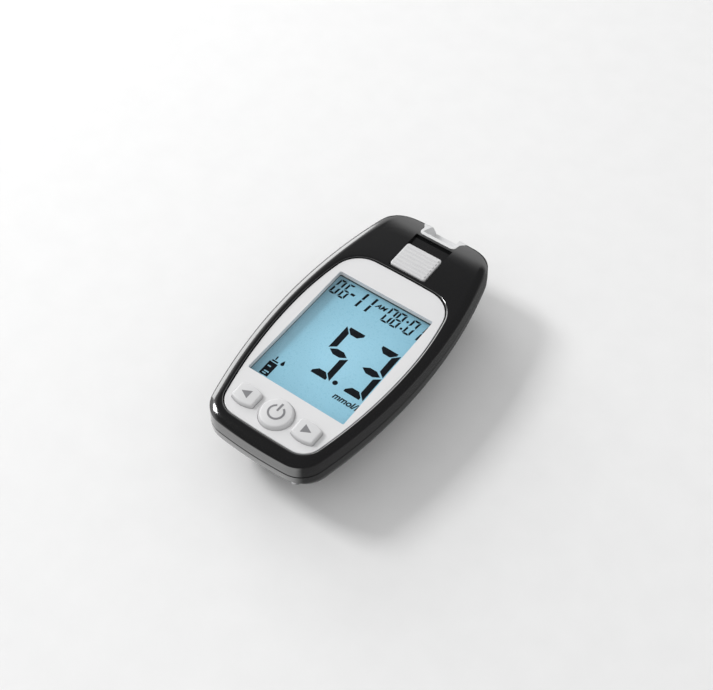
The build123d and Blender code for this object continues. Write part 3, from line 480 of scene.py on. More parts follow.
def by_side(normals, side, near, far):
    """A value that blends from the sides to the near and far ends."""
    share = np.abs(normals[:, 0]) ** 2
    return side * share + np.where(normals[:, 1] < 0, near, far) * (1 - share)


def rim_rings(plan, steps=9):
    """Rings over the wall's crisp edge and along the rolled shoulder onto the face."""
    width, drop = by_side(plan[1], 2.4, 3.0, 0.9), by_side(plan[1], 0.9, 1.1, 0.3)
    radius = (width ** 2 + drop ** 2) / (2 * drop)
    slope = np.arcsin(width / radius)
    rings = []

    def place(inset, below_face):
        rings.append(on_face(plan[0] - plan[1] * (wall_lean + inset)[:, None], below_face))

    lead = crisp_radius * np.tan((pi / 2 - slope) / 2)
    for share in np.linspace(0, 1, 5):
        turn = share * (pi / 2 - slope)
        place(crisp_radius * (1 - np.cos(turn)), drop + lead - crisp_radius * np.sin(turn))
    reach = crisp_radius * (1 - np.cos(pi / 2 - slope))
    for share in np.linspace(0, 1, steps)[1:]:
        inset = reach + (width - reach) * share
        place(inset, radius - np.sqrt(radius ** 2 - (width - inset) ** 2))
    return rings


def notch_plan(inset):
    """Plan of the port notch, which the guide's block fills."""
    w, mouth, y0, r = 6.05 - inset, 7.8 - inset, 38.8 + inset, 1.6 - inset
    points = [(-w, 42.0)]
    points += [(-w + r - r * cos(a), y0 + r - r * sin(a)) for a in np.linspace(0, pi / 2, 9)]
    points += [(w - r + r * sin(a), y0 + r - r * cos(a)) for a in np.linspace(0, pi / 2, 9)]
    return points + [(w, 42.0), (mouth, 45.0), (mouth, 47.0), (-mouth, 47.0), (-mouth, 45.0)]


plan = case_plan()
inner = case_plan(-wall)
groove = 0.125
rings = [ring(inner, parting + groove), ring(plan, parting + groove, 0.25),
         ring(plan, parting + groove + 0.06, 0.05), ring(plan, parting + groove + 0.14)]
rim = rim_rings(plan)
rings += rim
lip_width, lip_drop = 0.55, 0.4
lip_out = ring(plate_plan(0.15 + lip_width), case_height)
for share in (0.06, 0.14, 0.24, 0.34, 0.44, 0.54, 0.66, 0.8, 1.0):
    rings.append(on_face(rim[-1][:, :2] * (1 - share) + lip_out[:, :2] * share))
for angle in np.linspace(0, pi / 2, 6)[1:]:
    lip = plate_plan(0.15 + lip_width * (1 - sin(angle)))
    rings.append(ring(lip, case_height - lip_drop * (1 - cos(angle))))
rings.append(ring(plate_plan(0.15), plate_seat))
cover = skin("front_cover", rings)
# the underside is open up to the ledge, so the hollow is cut out of the cap that skin makes
hollow = prism("hollow", inner, parting - 1, ledge_bottom)
track = box_mesh("track", -6.05, 6.05, 23.9, 38.0, 20.0, 24.0)
slot = box_mesh("slot", -2.4, 2.4, 24.7, 33.2, 15.0, 21.0)
relief = box_mesh("relief", -8.6, 8.6, 23.5, 37.0, 15.0, 18.7)
notch = slab("notch", notch_plan(0.0), 15.0, 24.0)
lens_seat = prism("lens_seat", rounded_plan(16.4, 21.35, 1.4, 0, window_y), 18.2, 19.5)
window = prism("window", rounded_plan(15.8, 20.75, 0.4, 0, window_y), 17.0, 18.5)
power_hole = prism("power_hole", round_plan(4.9, 0, power_y), 17.0, 19.5)
arrow_holes = [box_mesh("arrow_hole", x - 3.6, x + 3.6, -37.2, -30.8, 17.0, 19.5)
               for x in ARROWS.values()]
combine(cover, [hollow, track, slot, relief, notch, lens_seat, window, power_hole, *arrow_holes])


def on_cut(p):
    return p.y > 23 and abs(p.x) < 8.2 and p.z > 18.8 or (p.y > 38.5 and abs(p.x) < 8.2)


soften(cover, 0.14, 30, 3, on_cut)
dress(cover, "black_gloss", "case", ["front_cover"], 40)

# %% [markdown]
# ## Face plate, lens and display
# The satin silver plate sits about half a millimetre under the bezel. The lens fills the window
# from below, and the display lies under it, so the plate's edge throws a soft shadow on the blue.

# %% Face plate and lens


def barrel_plan(grow=0.0, steps=14):
    """Plan of an arrow button: straight sides, bulged top and bottom, small round corners."""
    w, h, side_h = 3.45 + grow, 3.05 + grow, 2.2 + grow
    corner = 0.6 + grow
    rise = h - side_h
    big = (w ** 2 + rise ** 2) / (2 * rise)
    # the corner arc touches the straight side and lies inside the bulged end
    cx = w - corner
    cy = h - big + sqrt((big - corner) ** 2 - cx ** 2)
    reach = atan2(cx, cy - (h - big))
    quarter = [(cos(a), sin(a), cx, cy, corner) for a in np.linspace(0, pi / 2 - reach, 7)]
    quarter += [(sin(a), cos(a), 0.0, h - big, big) for a in np.linspace(reach, 0, steps)[1:]]
    points = [(ox + nx * r, oy + ny * r) for nx, ny, ox, oy, r in quarter]
    normals = [(nx, ny) for nx, ny, ox, oy, r in quarter]
    top = points + [(-x, y) for x, y in points[-2::-1]]
    top_n = normals + [(-x, y) for x, y in normals[-2::-1]]
    return (np.array(top + [(-x, -y) for x, y in top]), np.array(top_n + [(-x, -y) for x, y in top_n]))


def shifted(plan, x, y):
    return plan[0] + np.array((x, y)), plan[1]


def rolled(plan, z0, z1, radius, steps=5):
    """Rings of a wall from z0 that rolls over at z1."""
    rings = [ring(plan, z0)]
    for angle in np.linspace(0, pi / 2, steps):
        rings.append(ring(plan, z1 - radius * (1 - sin(angle)), radius * (1 - cos(angle))))
    return rings


plate = skin("face_plate", rolled(plate_plan(-0.15), plate_seat, plate_top - 0.15, 0.2))
holes = [prism("window", rounded_plan(15.4, 20.35, 0.4, 0, window_y), 18.0, 22.0),
         prism("power_hole", round_plan(4.82, 0, power_y), 18.0, 22.0)]
holes += [prism("arrow_hole", shifted(barrel_plan(0.07), x, arrow_y), 18.0, 22.0) for x in ARROWS.values()]
combine(plate, holes)
soften(plate, 0.1, 50, 2, lambda p: p.z > 20.4 and abs(p.x) < 16.5 and p.y < 15)
dress(plate, "face_silver", "case", ["face_plate"], 40)

lens = skin("display_lens", rolled(rounded_plan(16.3, 21.25, 1.3, 0, window_y), 18.2, 19.0, 0.08, 3))
dress(lens, "clear_lens", "case", ["display_lens"], 40)

# %% [markdown]
# ## Push buttons
# Each button is a satin cap that stands 1.4 mm over the plate, with a soft shoulder and a very
# shallow dome. Under the plate it widens into a flange that keeps it in, and a stem reaches the
# switch. All that is one stack of rings, from the stem up over the flange to the dome.

# %% Buttons
button_top, flange_low, flange_high, stem_low = 21.87, 17.2, 17.7, 16.75
stem_radius, flange_width, flange_limit_y = 1.3, 0.55, -29.35


def button(name, plan, x, y, shoulder, dome, taper=0.0, cut_flat=False):
    """Stem, flange, cap and dome as one closed form round (x, y)."""
    count = len(plan[0])
    start = atan2(plan[0][0][1], plan[0][0][0])
    angles = start + np.arange(count) * 2 * pi / count
    turned = np.column_stack((np.cos(angles), np.sin(angles)))
    wall_top = button_top - dome - shoulder
    rings = [np.column_stack((turned * stem_radius, np.full(count, z))) for z in (stem_low, flange_low)]
    rings += [ring(plan, flange_low, -flange_width), ring(plan, flange_high, -flange_width),
              ring(plan, flange_high), ring(plan, plate_top - 0.1), ring(plan, wall_top, taper)]
    for angle in np.linspace(0, pi / 2, 7)[1:]:
        rings.append(ring(plan, wall_top + shoulder * sin(angle), taper + shoulder * (1 - cos(angle))))
    edge = rings[-1]
    reach = np.hypot(edge[:, 0], edge[:, 1]).max()
    for share in (0.85, 0.66, 0.45, 0.24, 0.08):
        flat = edge[:, :2] * share
        lift = dome * (1 - (np.hypot(flat[:, 0], flat[:, 1]) / reach) ** 2)
        rings.append(np.column_stack((flat, edge[0, 2] + lift)))
    for r in rings:
        r[:, 0] += x
        r[:, 1] += y
        if cut_flat:
            low = r[:, 2] < flange_high + 0.01
            r[low, 1] = np.minimum(r[low, 1], flange_limit_y)
    return skin(name, rings)


def dome_height(x, y, half, dome):
    """Height of a button's dome above the point (x, y) from its middle."""
    return button_top - dome * min((x * x + y * y) / half ** 2, 1.0)


power = button("power_button", round_plan(4.75), 0, power_y, 0.55, 0.28, taper=0.35, cut_flat=True)
dress(power, "button_grey", "power_button_body", ["power_button"], 50)
for label, x in ARROWS.items():
    cap = button(f"{label}_button", barrel_plan(), x, arrow_y, 0.55, 0.12, taper=0.05)
    dress(cap, "button_grey", f"{label}_button_body", [f"{label}_button"], 50)

# %% [markdown]
# ## Printed marks
# The marks on the buttons and the dark segments of the display are ink a few hundredths of a
# millimetre thick. A mark is a set of flat outlines, each pushed to a thin closed slab whose top
# follows the surface under it. Several outlines make one piece.

# %% Marks on the buttons


def printed(name, outlines, height, material, body, thick=0.03):
    """Thin slabs over outlines given in millimetres; height(x, y) is the surface."""
    vertices, faces = [], []
    for outline in outlines:
        area = sum(a[0] * b[1] - b[0] * a[1] for a, b in zip(outline, outline[1:] + outline[:1]))
        if area < 0:
            outline = outline[::-1]
        first, n = len(vertices), len(outline)
        vertices += [(x, y, height(x, y) - 0.02) for x, y in outline]
        vertices += [(x, y, height(x, y) + thick) for x, y in outline]
        for i in range(n):
            j = (i + 1) % n
            faces.append((first + i, first + j, first + n + j, first + n + i))
        faces += [tuple(first + i for i in reversed(range(n))), tuple(first + n + i for i in range(n))]
    return dress(add_object(name, vertices, faces), material, body)


def arc_band(radius, width, start, stop, steps, x=0.0, y=0.0):
    """Quads along a bow of that radius and width, angles in degrees from +X."""
    angles = np.radians(np.linspace(start, stop, steps + 1))
    low, high = radius - width / 2, radius + width / 2
    return [[(x + r * cos(t), y + r * sin(t)) for r, t in ((low, a), (high, a), (high, b), (low, b))]
            for a, b in zip(angles, angles[1:])]


power_mark = arc_band(2.07, 0.55, 120, 420, 40, 0, power_y)
rows = power_y + np.linspace(0.35, 2.95, 6)
power_mark += [[(-0.3, y0), (0.3, y0), (0.3, y1), (-0.3, y1)] for y0, y1 in zip(rows, rows[1:])]
printed("power_mark", power_mark, lambda x, y: dome_height(x, y - power_y, 4.2, 0.28), "grey_print",
        "power_button_body")
for label, tip, back in (("left", -11.3, -8.7), ("right", 11.0, 8.4)):
    middle = ARROWS[label]
    triangle = [[(tip, -33.95), (back, -32.6), (back, -35.3)]]
    printed(f"{label}_mark", triangle, lambda x, y: dome_height(x - middle, y - arrow_y, 3.9, 0.12),
            "grey_print", f"{label}_button_body")

# %% [markdown]
# The display's digits are seven-segment figures: long bars with bevelled ends. One function
# gives the bars of a digit in its box, with a lean for the small row of date and time.

# %% Display segments
ink_z = 17.7
DIGITS = {"0": "abcdef", "3": "abgcd", "5": "afgcd", "6": "afgecd", "8": "abcdefg"}


def digit(symbol, x0, x1, y0, y1, thick, gap, lean=0.0, upright=None):
    """Outlines of one seven-segment figure."""
    upright = upright or thick
    middle, half = (y0 + y1) / 2, thick / 2
    left, right, blunt = x0 + gap, x1 - gap, 0.38 * thick
    shapes = {
        "g": [(left + half * 0.4, middle), (left + thick, middle + half), (right - thick, middle + half),
              (right - half * 0.4, middle), (right - thick, middle - half), (left + thick, middle - half)],
    }
    for key, y, way in (("a", y1, -1), ("d", y0, 1)):
        tip_y, inner_y = y + way * blunt, y + way * thick
        shapes[key] = [(left + blunt, y), (right - blunt, y), (right - blunt, tip_y),
                       (right - thick, inner_y), (left + thick, inner_y), (left + blunt, tip_y)]
    for key, x, side, y, way in (("f", x0, 1, y1, -1), ("b", x1, -1, y1, -1),
                                 ("e", x0, 1, y0, 1), ("c", x1, -1, y0, 1)):
        inner_x, slant = x + side * upright, gap + upright * 0.75
        shapes[key] = [(x, y + way * gap), (x, middle - way * gap),
                       (inner_x, middle - way * slant), (inner_x, y + way * (gap + upright))]
    return [[(x + lean * (y - y0), y) for x, y in shapes[key]] for key in DIGITS[symbol]]


def dot(x, y, radius):
    return round_plan(radius, x, y, 16)[0].tolist()


def bar(x0, x1, y0, y1, lean=0.0):
    return [(x + lean * (y - y0), y) for x, y in ((x0, y0), (x1, y0), (x1, y1), (x0, y1))]


def set_back(x, y):
    """Marks lie under the lens, so they are moved back along the line of sight."""
    return x - 1.33, y + 1.78


figures = digit("5", -2.3, 4.6, -18.4, -0.3, 2.15, 0.22, upright=1.85)
figures += digit("3", 8.4, 15.4, -18.4, -0.3, 2.15, 0.22, upright=1.85)
figures.append(dot(6.2, -17.6, 0.75))
row_y0, row_y1 = 6.3, 12.1
small = []
for symbol, x0 in (("0", -14.0), ("6", -11.1)):
    small += digit(symbol, x0, x0 + 2.2, row_y0, row_y1, 0.62, 0.12, 0.1)
small.append(bar(-8.3, -7.0, 8.8, 9.6, 0.1))
for x0 in (-5.1, -2.0):
    small += [bar(x0, x0 + 0.75, row_y0 + 0.1, 9.0, 0.1), bar(x0 + 0.31, x0 + 1.06, 9.4, row_y1 - 0.1, 0.1)]
for symbol, x0 in (("0", 3.4), ("8", 6.2), ("0", 10.6)):
    small += digit(symbol, x0, x0 + 2.4, row_y0, row_y1, 0.62, 0.12, 0.1)
small += [dot(9.9, 7.3, 0.4), dot(10.1, 10.2, 0.4)]
small += [bar(15.0, 15.6, row_y0 + 0.1, 9.0, 0.1), bar(15.31, 15.91, 9.4, row_y1 - 0.1, 0.1)]
vial = [bar(-12.1, -9.4, -26.6, -21.9), bar(-11.7, -9.8, -21.6, -21.1), bar(-11.2, -10.8, -20.9, -19.6),
        dot(-8.6, -21.0, 0.55), [(-9.05, -20.7), (-8.15, -20.7), (-8.6, -19.7)]]
edge_x, low_y, high_y = 16.3, -27.4, 15.0
clipped = []
for outline in figures + small + vial:
    moved = [set_back(x, y) for x, y in outline]
    clipped.append([(float(np.clip(x, -edge_x, edge_x)), float(np.clip(y, low_y, high_y)))
                    for x, y in moved])
printed("display_figures", clipped, lambda x, y: ink_z, "ink", "case", 0.02)
label_lines = [bar(-11.6, -10.6, -23.6, -23.2, 0.2), bar(-11.4, -9.9, -25.4, -25.0, 0.2),
               bar(-11.5, -10.4, -26.1, -25.75, 0.2)]
printed("vial_label", [[set_back(x, y) for x, y in outline] for outline in label_lines],
        lambda x, y: ink_z, "lcd", "case", 0.035)


def flat_text(name, words, size_mm, x, y, lean, swell_mm=0.08):
    """Words as a thin mesh on the display, their strokes thickened by swell_mm."""
    curve = bpy.data.curves.new(name, "FONT")
    curve.body = words
    curve.size = size_mm * MM
    curve.extrude = 0.015 * MM
    curve.offset = swell_mm * MM
    curve.shear = lean
    obj = put(name, curve)
    graph = bpy.context.evaluated_depsgraph_get()
    mesh = bpy.data.meshes.new_from_object(obj.evaluated_get(graph))
    bpy.data.objects.remove(obj)
    mesh.transform(Matrix.Translation(Vector((*set_back(x, y), ink_z + 0.01)) * MM))
    dress(put(name, mesh), "ink", "case")


flat_text("unit_text", "mmol/L", 2.7, 8.1, -21.7, 0.2)
flat_text("half_day_text", "AM", 2.1, -0.2, 9.5, 0.3)

# %% [markdown]
# ## Eject slider
# The slider is a small block with rounded corners. Its top carries low ribs that a thumb can
# grip. They repeat at an even pitch, so Geometry Nodes lay them out: a line of points, a rib on
# each point, then real geometry and a material. A plain mesh is made from the result.

# %% Geometry Nodes helpers


def start_tree(name, values):
    """A geometry tree with a named input for each value, and those inputs as sockets."""
    tree = bpy.data.node_groups.new(name, "GeometryNodeTree")
    for label, value in values.items():
        kind = "NodeSocketInt" if isinstance(value, int) else "NodeSocketFloat"
        tree.interface.new_socket(name=label, in_out="INPUT", socket_type=kind)
    tree.interface.new_socket(name="Geometry", in_out="OUTPUT", socket_type="NodeSocketGeometry")
    return tree, tree.nodes.new("NodeGroupInput").outputs


def run_tree(name, tree, geometry, material, values):
    """Realizes the geometry, sets its material, and keeps the tree's result as a plain mesh.
    A whole number is a count and any other value is a length in millimetres."""
    real = add_node(tree, "GeometryNodeRealizeInstances", {"Geometry": geometry})
    painted = add_node(tree, "GeometryNodeSetMaterial", {"Geometry": real.outputs["Geometry"]},
                       Material=mats[material])
    add_node(tree, "NodeGroupOutput", {"Geometry": painted.outputs["Geometry"]})
    obj = add_object(name, [], [])
    modifier = obj.modifiers.new("layout", "NODES")
    modifier.node_group = tree
    for item in tree.interface.items_tree:
        if item.name in values:
            value = values[item.name]
            modifier[item.identifier] = value if isinstance(value, int) else value * MM
    return evaluated(obj)


def round_bar(tree, path, radius, sides):
    """A capped round section carried along a curve node's curve."""
    section = add_node(tree, "GeometryNodeCurvePrimitiveCircle", {"Radius": radius}, Resolution=sides)
    swept = add_node(tree, "GeometryNodeCurveToMesh", {
        "Curve": path.outputs["Curve"], "Profile Curve": section.outputs["Curve"]}, Fill_Caps=True)
    return swept.outputs["Mesh"]


def place_at(tree, **axes):
    """A vector from the given axes; the others are zero."""
    return add_node(tree, "ShaderNodeCombineXYZ", axes).outputs["Vector"]


def ribs(name, material, values):
    """Half-round ribs along +Y at an even pitch, each lying along X."""
    tree, value = start_tree("ribs", values)
    gaps = arithmetic(tree, "SUBTRACT", value["Count"], 1.0)
    span = arithmetic(tree, "MULTIPLY", gaps, value["Pitch"])
    half_span = arithmetic(tree, "MULTIPLY", span, 0.5)
    first_y = arithmetic(tree, "SUBTRACT", value["Middle Y"], half_span)
    line = add_node(tree, "GeometryNodeMeshLine", {
        "Count": value["Count"], "Start Location": place_at(tree, Y=first_y, Z=value["Height"]),
        "Offset": place_at(tree, Y=value["Pitch"])})
    axis = add_node(tree, "GeometryNodeCurvePrimitiveLine", {
        "Start": place_at(tree, X=arithmetic(tree, "MULTIPLY", value["Half length"], -1.0)),
        "End": place_at(tree, X=value["Half length"])})
    rib = round_bar(tree, axis, value["Radius"], 40)
    copies = add_node(tree, "GeometryNodeInstanceOnPoints",
                      {"Points": line.outputs["Mesh"], "Instance": rib})
    return run_tree(name, tree, copies.outputs["Instances"], material, values)


# %% Slider body and ribs
slider_plan = rounded_plan(5.75, 4.6, 0.8, 0, slider_y)
slider = skin("eject_slider", rolled(slider_plan, 20.05, 21.5, 0.35, 6))
boss = box_mesh("boss", -2.3, 2.3, 24.9, 28.5, 18.6, 20.3)
peg = prism("peg", round_plan(0.9, 0, 26.7, 32), 18.15, 18.8)
combine(slider, [boss, peg], "UNION")
dress(slider, "slider_silver", "eject_slider_body", ["eject_slider"], 40)
slider_ribs = ribs("slider_ribs", "slider_silver", {
    "Count": 6, "Pitch": 1.36, "Half length": 5.2, "Radius": 0.7, "Middle Y": slider_y, "Height": 21.06})
dress(slider_ribs, None, "eject_slider_body")

# %% [markdown]
# ## Strip port
# A milky block fills the notch at the far end. Its top follows the bezel's roll, and a dish with
# sloping sides lets a fingertip follow the strip down to the slot.

# %% Strip port guide
guide = slab("strip_port_guide", notch_plan(0.1), 13.0, 24.0)
blank_plan = case_plan()
blank = [ring(blank_plan, 12.0), ring(blank_plan, parting)] + rim_rings(blank_plan)
last = blank[-1]
for share in (0.97, 0.94, 0.9, 0.86, 0.8):
    blank.append(on_face((last[:, :2] - (0, -4)) * share + (0, -4)))
body_blank = skin("blank", blank)
combine(guide, [body_blank], "INTERSECT")
lower = box_mesh("lower", -9.0, 9.0, 37.0, 43.2, 13.0, 17.7)
lower_hold = prism("hold", case_plan(-wall - 0.15), 12.5, 18.0)
combine(lower, [lower_hold], "INTERSECT")
combine(guide, [lower], "UNION")
dish = skin("dish", [[(-w, 45 - d, z), (w, 45 - d, z), (w, 45 + d, z), (-w, 45 + d, z)]
                     for w, d, z in ((3.6, 4.8, 16.2), (5.3, 4.9, 21.0), (5.9, 4.93, 22.7))])
strip_slot = box_mesh("strip_slot", -3.3, 3.3, 36.0, 45.0, 16.2, 17.0)
combine(guide, [dish, strip_slot])
soften(guide, 0.16, 30, 3, lambda p: p.z > 15.9 and p.y > 38.5)
dress(guide, "port_white", "case", ["strip_port_guide"], 40)

# %% [markdown]
# ## Lower shell
# The lower shell is boat shaped: an upright rim under the parting line, then flanks that draw in
# along a superellipse down to the small flat base, leaner at the near end. Rings at even steps
# of angle draw that curve. The cell room, the screw wells, the hook slots and the fingertip
# notch are cut into it as the real tool would.

# %% Lower shell
tuck_width, rim_height = 9.5, 2.5
hooks = (-6.2, 6.2)
flank_fullness, near_fullness = 1.4, 1.1


def hull_rings(inset, floor_z, steps=16, top=parting - 0.125):
    """Rings from the floor up to the parting line."""
    rings = []
    rim_z = parting - rim_height
    for angle in np.linspace(pi / 2, 0, steps):
        share = sin(angle) ** (2 / flank_fullness)
        tuck, near_tuck = [tuck_width * (1 - (1 - share ** n) ** (1 / n))
                           for n in (flank_fullness, near_fullness)]
        rings.append(ring(case_plan(-inset, tuck, near_tuck), rim_z - share * (rim_z - floor_z)))
    rings.append(ring(case_plan(-inset), top))
    return rings


outer = hull_rings(0.0, 0.0, 20, parting - 0.25)
outer += [ring(case_plan(-0.05), parting - 0.19), ring(case_plan(-0.25), parting - 0.125)]
shell = skin("rear_case", outer)
combine(shell, [skin("hollow", hull_rings(wall, wall, 10, 17.0))])
core = skin("core", hull_rings(wall / 2, wall / 2, 10, 17.0))
room = box_mesh("room", -12.9, 12.9, -32.8, 19.8, 0.4, 13.4)
tubes = [prism("tube", round_plan(3.0, x, y, 40), 0.4, 10.5) for x, y in SCREWS]
combine(room, tubes, "UNION")
combine(room, [core], "INTERSECT")
combine(shell, [room], "UNION")


def door_outline(grow):
    """Round near corners and tight corners at the hinge edge."""
    points = []
    for cx, cy, r, start in ((9.9, -30.9, 2.0, -90), (11.5, 19.5, 0.4, 0), (-11.5, 19.5, 0.4, 90),
                             (-9.9, -30.9, 2.0, 180)):
        for a in np.radians(np.linspace(start, start + 90, 8)):
            points.append((cx + (r + grow) * cos(a), cy + (r + grow) * sin(a)))
    return points


cuts = [box_mesh("cells", -11.1, 11.1, -31.5, 18.5, -1.0, 12.5),
        slab("door_hole", door_outline(0.15), -1.0, 1.5),
        box_mesh("latch_room", -3.65, 3.65, -33.2, -30.5, -1.0, 5.9)]
cuts += [box_mesh("hook_slot", x - 2.3, x + 2.3, 17.5, 22.4, 1.49, 4.6) for x in hooks]
for x, y in SCREWS:
    cuts.append(prism("head_well", round_plan(2.08, x, y, 40), -1.0, 9.0))
    cuts.append(prism("shank_well", round_plan(1.2, x, y, 32), 8.0, 11.5))
cuts.append(slab("port_room", notch_plan(0.0), 12.9, 20.9))
combine(shell, cuts)
scoop_rings = []
for angle in np.linspace(0.12, pi - 0.05, 16):
    scoop_rings.append(ring(round_plan(4.5 * sin(angle), 0, -33.9, 40), -3.7 - 4.5 * cos(angle)))
combine(shell, [skin("scoop", scoop_rings)])
soften(shell, 0.12, 40, 2, lambda p: p.z < 1.9 and p.z > -0.01 and -34 < p.y < 21)
dress(shell, "black_case", "case", ["rear_case"], 35)

# %% [markdown]
# ## Battery door
# The door lies flush in the base. Its far edge is a round barrel that turns in the opening, with
# two hooks that reach over the case floor. A springy tab at the near edge snaps it shut.

# %% Battery door
hinge_y, hinge_z, barrel_radius = 19.275, 0.775, 0.625
door = slab("battery_door", door_outline(0.0), 0.15, 1.4)
combine(door, [skin("flank", hull_rings(0.03, 0.15, 14))], "INTERSECT")
combine(door, [box_mesh("edge", -14, 14, hinge_y, 25, 0.0, 3.0)])
circle = round_plan(barrel_radius, hinge_y, hinge_z, 24)[0]
parts = [skin("barrel", [[(x, y, z) for y, z in circle] for x in (-11.35, 11.35)])]
for x in hooks:
    parts.append(box_mesh("neck", x - 2, x + 2, hinge_y - 0.8, hinge_y, hinge_z, 2.4))
    parts.append(box_mesh("reach", x - 2, x + 2, 19.2, 21.9, 1.6, 2.4))
parts.append(box_mesh("latch", -3.5, 3.5, -32.7, -31.9, hinge_z, 5.6))
combine(door, parts, "UNION")
soften(door, 0.08, 40, 2, lambda p: p.z < 0.3)
dress(door, "black_case", "battery_door_body", ["battery_door"], 35)
grip = ribs("door_grip_ribs", "black_case", {
    "Count": 5, "Pitch": 1.1, "Half length": 4.8, "Radius": 0.17, "Middle Y": -27.6, "Height": 0.2})
dress(grip, None, "battery_door_body")

# %% [markdown]
# ## Screws and springs
# Four pan-head screws sit deep in the base, so Geometry Nodes mirror one screw to four places.
# The spring that brings the slider back is a round section carried along a spiral of six turns.

# %% Case screws


def screw_rings(head_r, head_h, shank_r, length, seat):
    """Head below the seat and shank above it."""
    rings = []
    for r, z in ((head_r * 0.55, -head_h), (head_r * 0.8, -head_h * 0.96), (head_r * 0.95, -head_h * 0.8),
                 (head_r, -head_h * 0.5), (head_r, 0.0), (shank_r, 0.0), (shank_r, length - 0.4),
                 (shank_r * 0.6, length)):
        rings.append(ring(round_plan(r, steps=28), z + seat))
    return rings


def four_copies(name, source, material, values):
    """Copies of one screw on the four corners given by two places and a mirror."""
    tree, value = start_tree("screws", values)
    info = add_node(tree, "GeometryNodeObjectInfo", Object=source)
    joined = add_node(tree, "GeometryNodeJoinGeometry")
    for end in ("Near", "Far"):
        for sign in (-1.0, 1.0):
            x = arithmetic(tree, "MULTIPLY", value[f"{end} X"], sign)
            copy = add_node(tree, "GeometryNodeTransform", {
                "Geometry": info.outputs["Geometry"],
                "Translation": place_at(tree, X=x, Y=value[f"{end} Y"])})
            tree.links.new(copy.outputs["Geometry"], joined.inputs["Geometry"])
    return run_tree(name, tree, joined.outputs["Geometry"], material, values)


pattern = skin("screw_pattern", screw_rings(head_r=2.0, head_h=1.3, shank_r=0.95, length=6.5, seat=9.0))
combine(pattern, [box_mesh("slot", -x, x, -y, y, 7.2, 8.35) for x, y in ((1.3, 0.3), (0.3, 1.3))])
case_screws = four_copies("case_screws", pattern, "steel", {
    "Near X": 10.5, "Near Y": -40.2, "Far X": 14.8, "Far Y": 30.5})
bpy.data.objects.remove(pattern)
dress(case_screws, None, "case", ["case_screws"], 35)

# %% Return spring
spring_values = {"Turns": 6, "Coil radius": 1.0, "Length": 9.3, "Wire radius": 0.14}
tree, value = start_tree("springs", spring_values)
spiral = add_node(tree, "GeometryNodeCurveSpiral", {
    "Rotations": value["Turns"], "Start Radius": value["Coil radius"],
    "End Radius": value["Coil radius"], "Height": value["Length"]}, Resolution=40)
wire = round_bar(tree, spiral, value["Wire radius"], 10)
return_spring = run_tree("slider_return_spring", tree, wire, "steel", spring_values)
spring_start = Vector((6.9, 25.35, 17.05)) * MM
return_spring.data.transform(Matrix.Translation(spring_start) @ Matrix.Rotation(radians(-90), 4, "X"))
dress(return_spring, None, "case", ["slider_return_spring"])

# %% [markdown]
# ## Inner pieces
# The board, the display stack, the switches, the cells and their springs keep their CAD meshes,
# because their shapes are right as they are. Each gets a finish. The cells get a printed sleeve:
# bands along the cell from a ramp on Object coordinates, dark with a pale end.

# %% Cell sleeve
sleeve_mat, tree, shader = new_material("cell_sleeve")
coords = add_node(tree, "ShaderNodeTexCoord")
split = add_node(tree, "ShaderNodeSeparateXYZ", {"Vector": coords.outputs["Object"]})
along = spread(tree, split.outputs["Y"], 0.0, 1.0, -31 * MM, 18 * MM)
ramp = add_node(tree, "ShaderNodeValToRGB", {"Fac": along})
ramp.color_ramp.interpolation = "CONSTANT"
stops = ramp.color_ramp.elements
pale, dark = (0.62, 0.62, 0.63, 1), (0.05, 0.07, 0.12, 1)
stops[0].position, stops[0].color = 0.0, pale
stops[1].position, stops[1].color = 0.12, dark
for place, colour in ((0.42, (0.62, 0.64, 0.66, 1)), (0.46, dark), (0.88, pale)):
    stops.new(place).color = colour
tree.links.new(ramp.outputs["Color"], shader.inputs["Base Color"])
fine = noise(tree, 0.5)
tree.links.new(spread(tree, fine, 0.25, 0.35), shader.inputs["Roughness"])
add_bump(tree, shader, fine, 0.003)
mats["cell_sleeve"] = sleeve_mat

# %% Finishes of the CAD pieces that stay
record_slots = {part["node"]: part["material_slot"] for part in frame["record"]["subparts"]}
for name, obj in nodes.items():
    obj.data.materials.clear()
    obj.data.materials.append(mats[record_slots[name]])
print("finished CAD pieces", len(record_slots))

# %% [markdown]
# ## Floor and light
# The meter lies on a plain pale floor. A square lamp on its left gives a soft shadow to the
# right, and a low wide one draws the pale band along the left shoulder. The world fills the
# shadow. Polished black reflects what is round it, so reflected rays get values of their own.
# For them the floor gives off painted light: a painted reflection, pale on the near side, and a
# painted shadow of the case, dark on the right and under the case. The world has a dark flag
# overhead and a paler horizon for them. Everything else is lit by the plain floor and world.

# %% Floor
corners = ((-900, -900, 0), (900, -900, 0), (900, 900, 0), (-900, 900, 0))
floor = add_object("floor", corners, [(0, 1, 2, 3)])
floor_paint = finish("pale_floor", (0.78, 0.78, 0.78), 0.75, 0.01, 0.8, 0.004)
floor.data.materials.append(floor_paint)
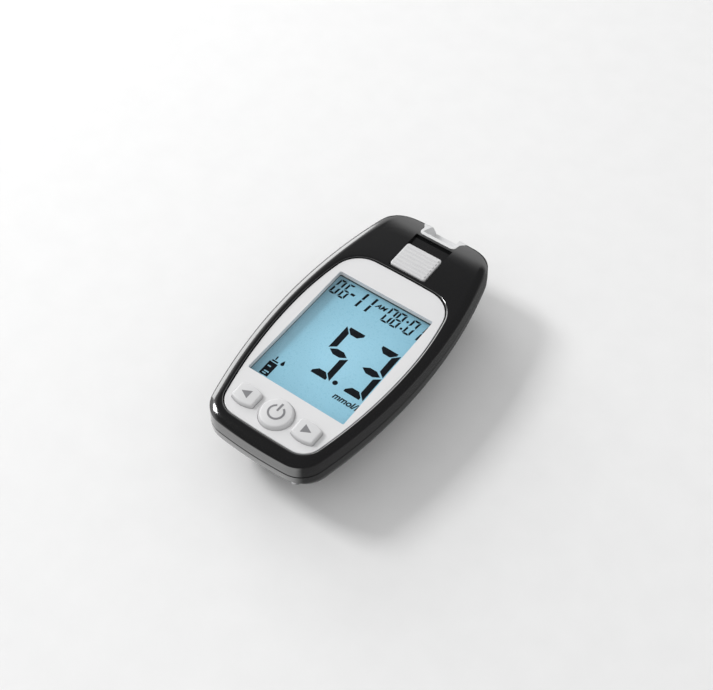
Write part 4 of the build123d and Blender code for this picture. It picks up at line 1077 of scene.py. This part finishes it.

# For glossy rays the floor is an emission of painted light: pale on the near side as a painted reflection,
# dark on the right and under the case as a painted shadow of the case.
tree = floor_paint.node_tree
where = add_node(tree, "ShaderNodeNewGeometry").outputs["Position"]
rightward = vector_arithmetic(tree, "DOT_PRODUCT", where, (0.80, 0.60, 0.0))
near_side = spread(tree, rightward, 0.0, 1.0, -13 * MM, -23 * MM, interpolation_type="SMOOTHSTEP")
footprint = vector_arithmetic(tree, "MULTIPLY", where, (1 / (22 * MM), 1 / (45.5 * MM), 0.0))
away = vector_arithmetic(tree, "LENGTH", footprint)
outside = spread(tree, away, 0.0, 1.0, 0.99, 1.08, interpolation_type="SMOOTHSTEP")
both = arithmetic(tree, "MULTIPLY", near_side, outside)
painted_reflection_level = spread(tree, both, 0.14, 1.0, 0.0, 1.0)
painted_reflection = add_node(tree, "ShaderNodeEmission", {"Strength": painted_reflection_level})
rays = add_node(tree, "ShaderNodeLightPath")
blend = add_node(tree, "ShaderNodeMixShader", {
    "Fac": rays.outputs["Is Glossy Ray"], 1: find(tree, "BSDF_PRINCIPLED").outputs["BSDF"],
    2: painted_reflection.outputs["Emission"]})
tree.links.new(blend.outputs["Shader"], find(tree, "OUTPUT_MATERIAL").inputs["Surface"])

# %% Lamps and world


def area_lamp(name, place_mm, target_mm, width_mm, height_mm, power_w):
    """A rectangular lamp that faces the target."""
    data = bpy.data.lights.new(name, "AREA")
    data.shape = "RECTANGLE"
    data.size = width_mm * MM
    data.size_y = height_mm * MM
    data.energy = power_w
    place, target = Vector(place_mm) * MM, Vector(target_mm) * MM
    facing = (target - place).to_track_quat("-Z", "Y").to_matrix().to_4x4()
    put(name, data).matrix_world = Matrix.Translation(place) @ facing


area_lamp("key_lamp", (-1100, -195, 1000), (0, 0, 0), 360, 360, 11.0)
area_lamp("side_box", (-800, 350, 290), (0, 0, 10), 600, 500, 3.0)

world = bpy.data.worlds.new("studio")
scene.world = world
world.use_nodes = True
tree = world.node_tree
background = find(tree, "BACKGROUND")
background.inputs["Color"].default_value = (1, 1, 1, 1)
direction = add_node(tree, "ShaderNodeTexCoord").outputs["Generated"]
height = add_node(tree, "ShaderNodeSeparateXYZ", {"Vector": direction}).outputs["Z"]
sky = spread(tree, height, 0.87, 0.66, 0.0, 1.0)
toward_flag = vector_arithmetic(tree, "DOT_PRODUCT", direction, (0.35, -0.15, 0.925))
flag = spread(tree, toward_flag, 0.75, 0.075, 0.15, 0.52, interpolation_type="SMOOTHSTEP")
rays = add_node(tree, "ShaderNodeLightPath")
choose = add_node(tree, "ShaderNodeMix", {"Factor": rays.outputs["Is Glossy Ray"], "A": sky, "B": flag})
tree.links.new(choose.outputs["Result"], background.inputs["Strength"])
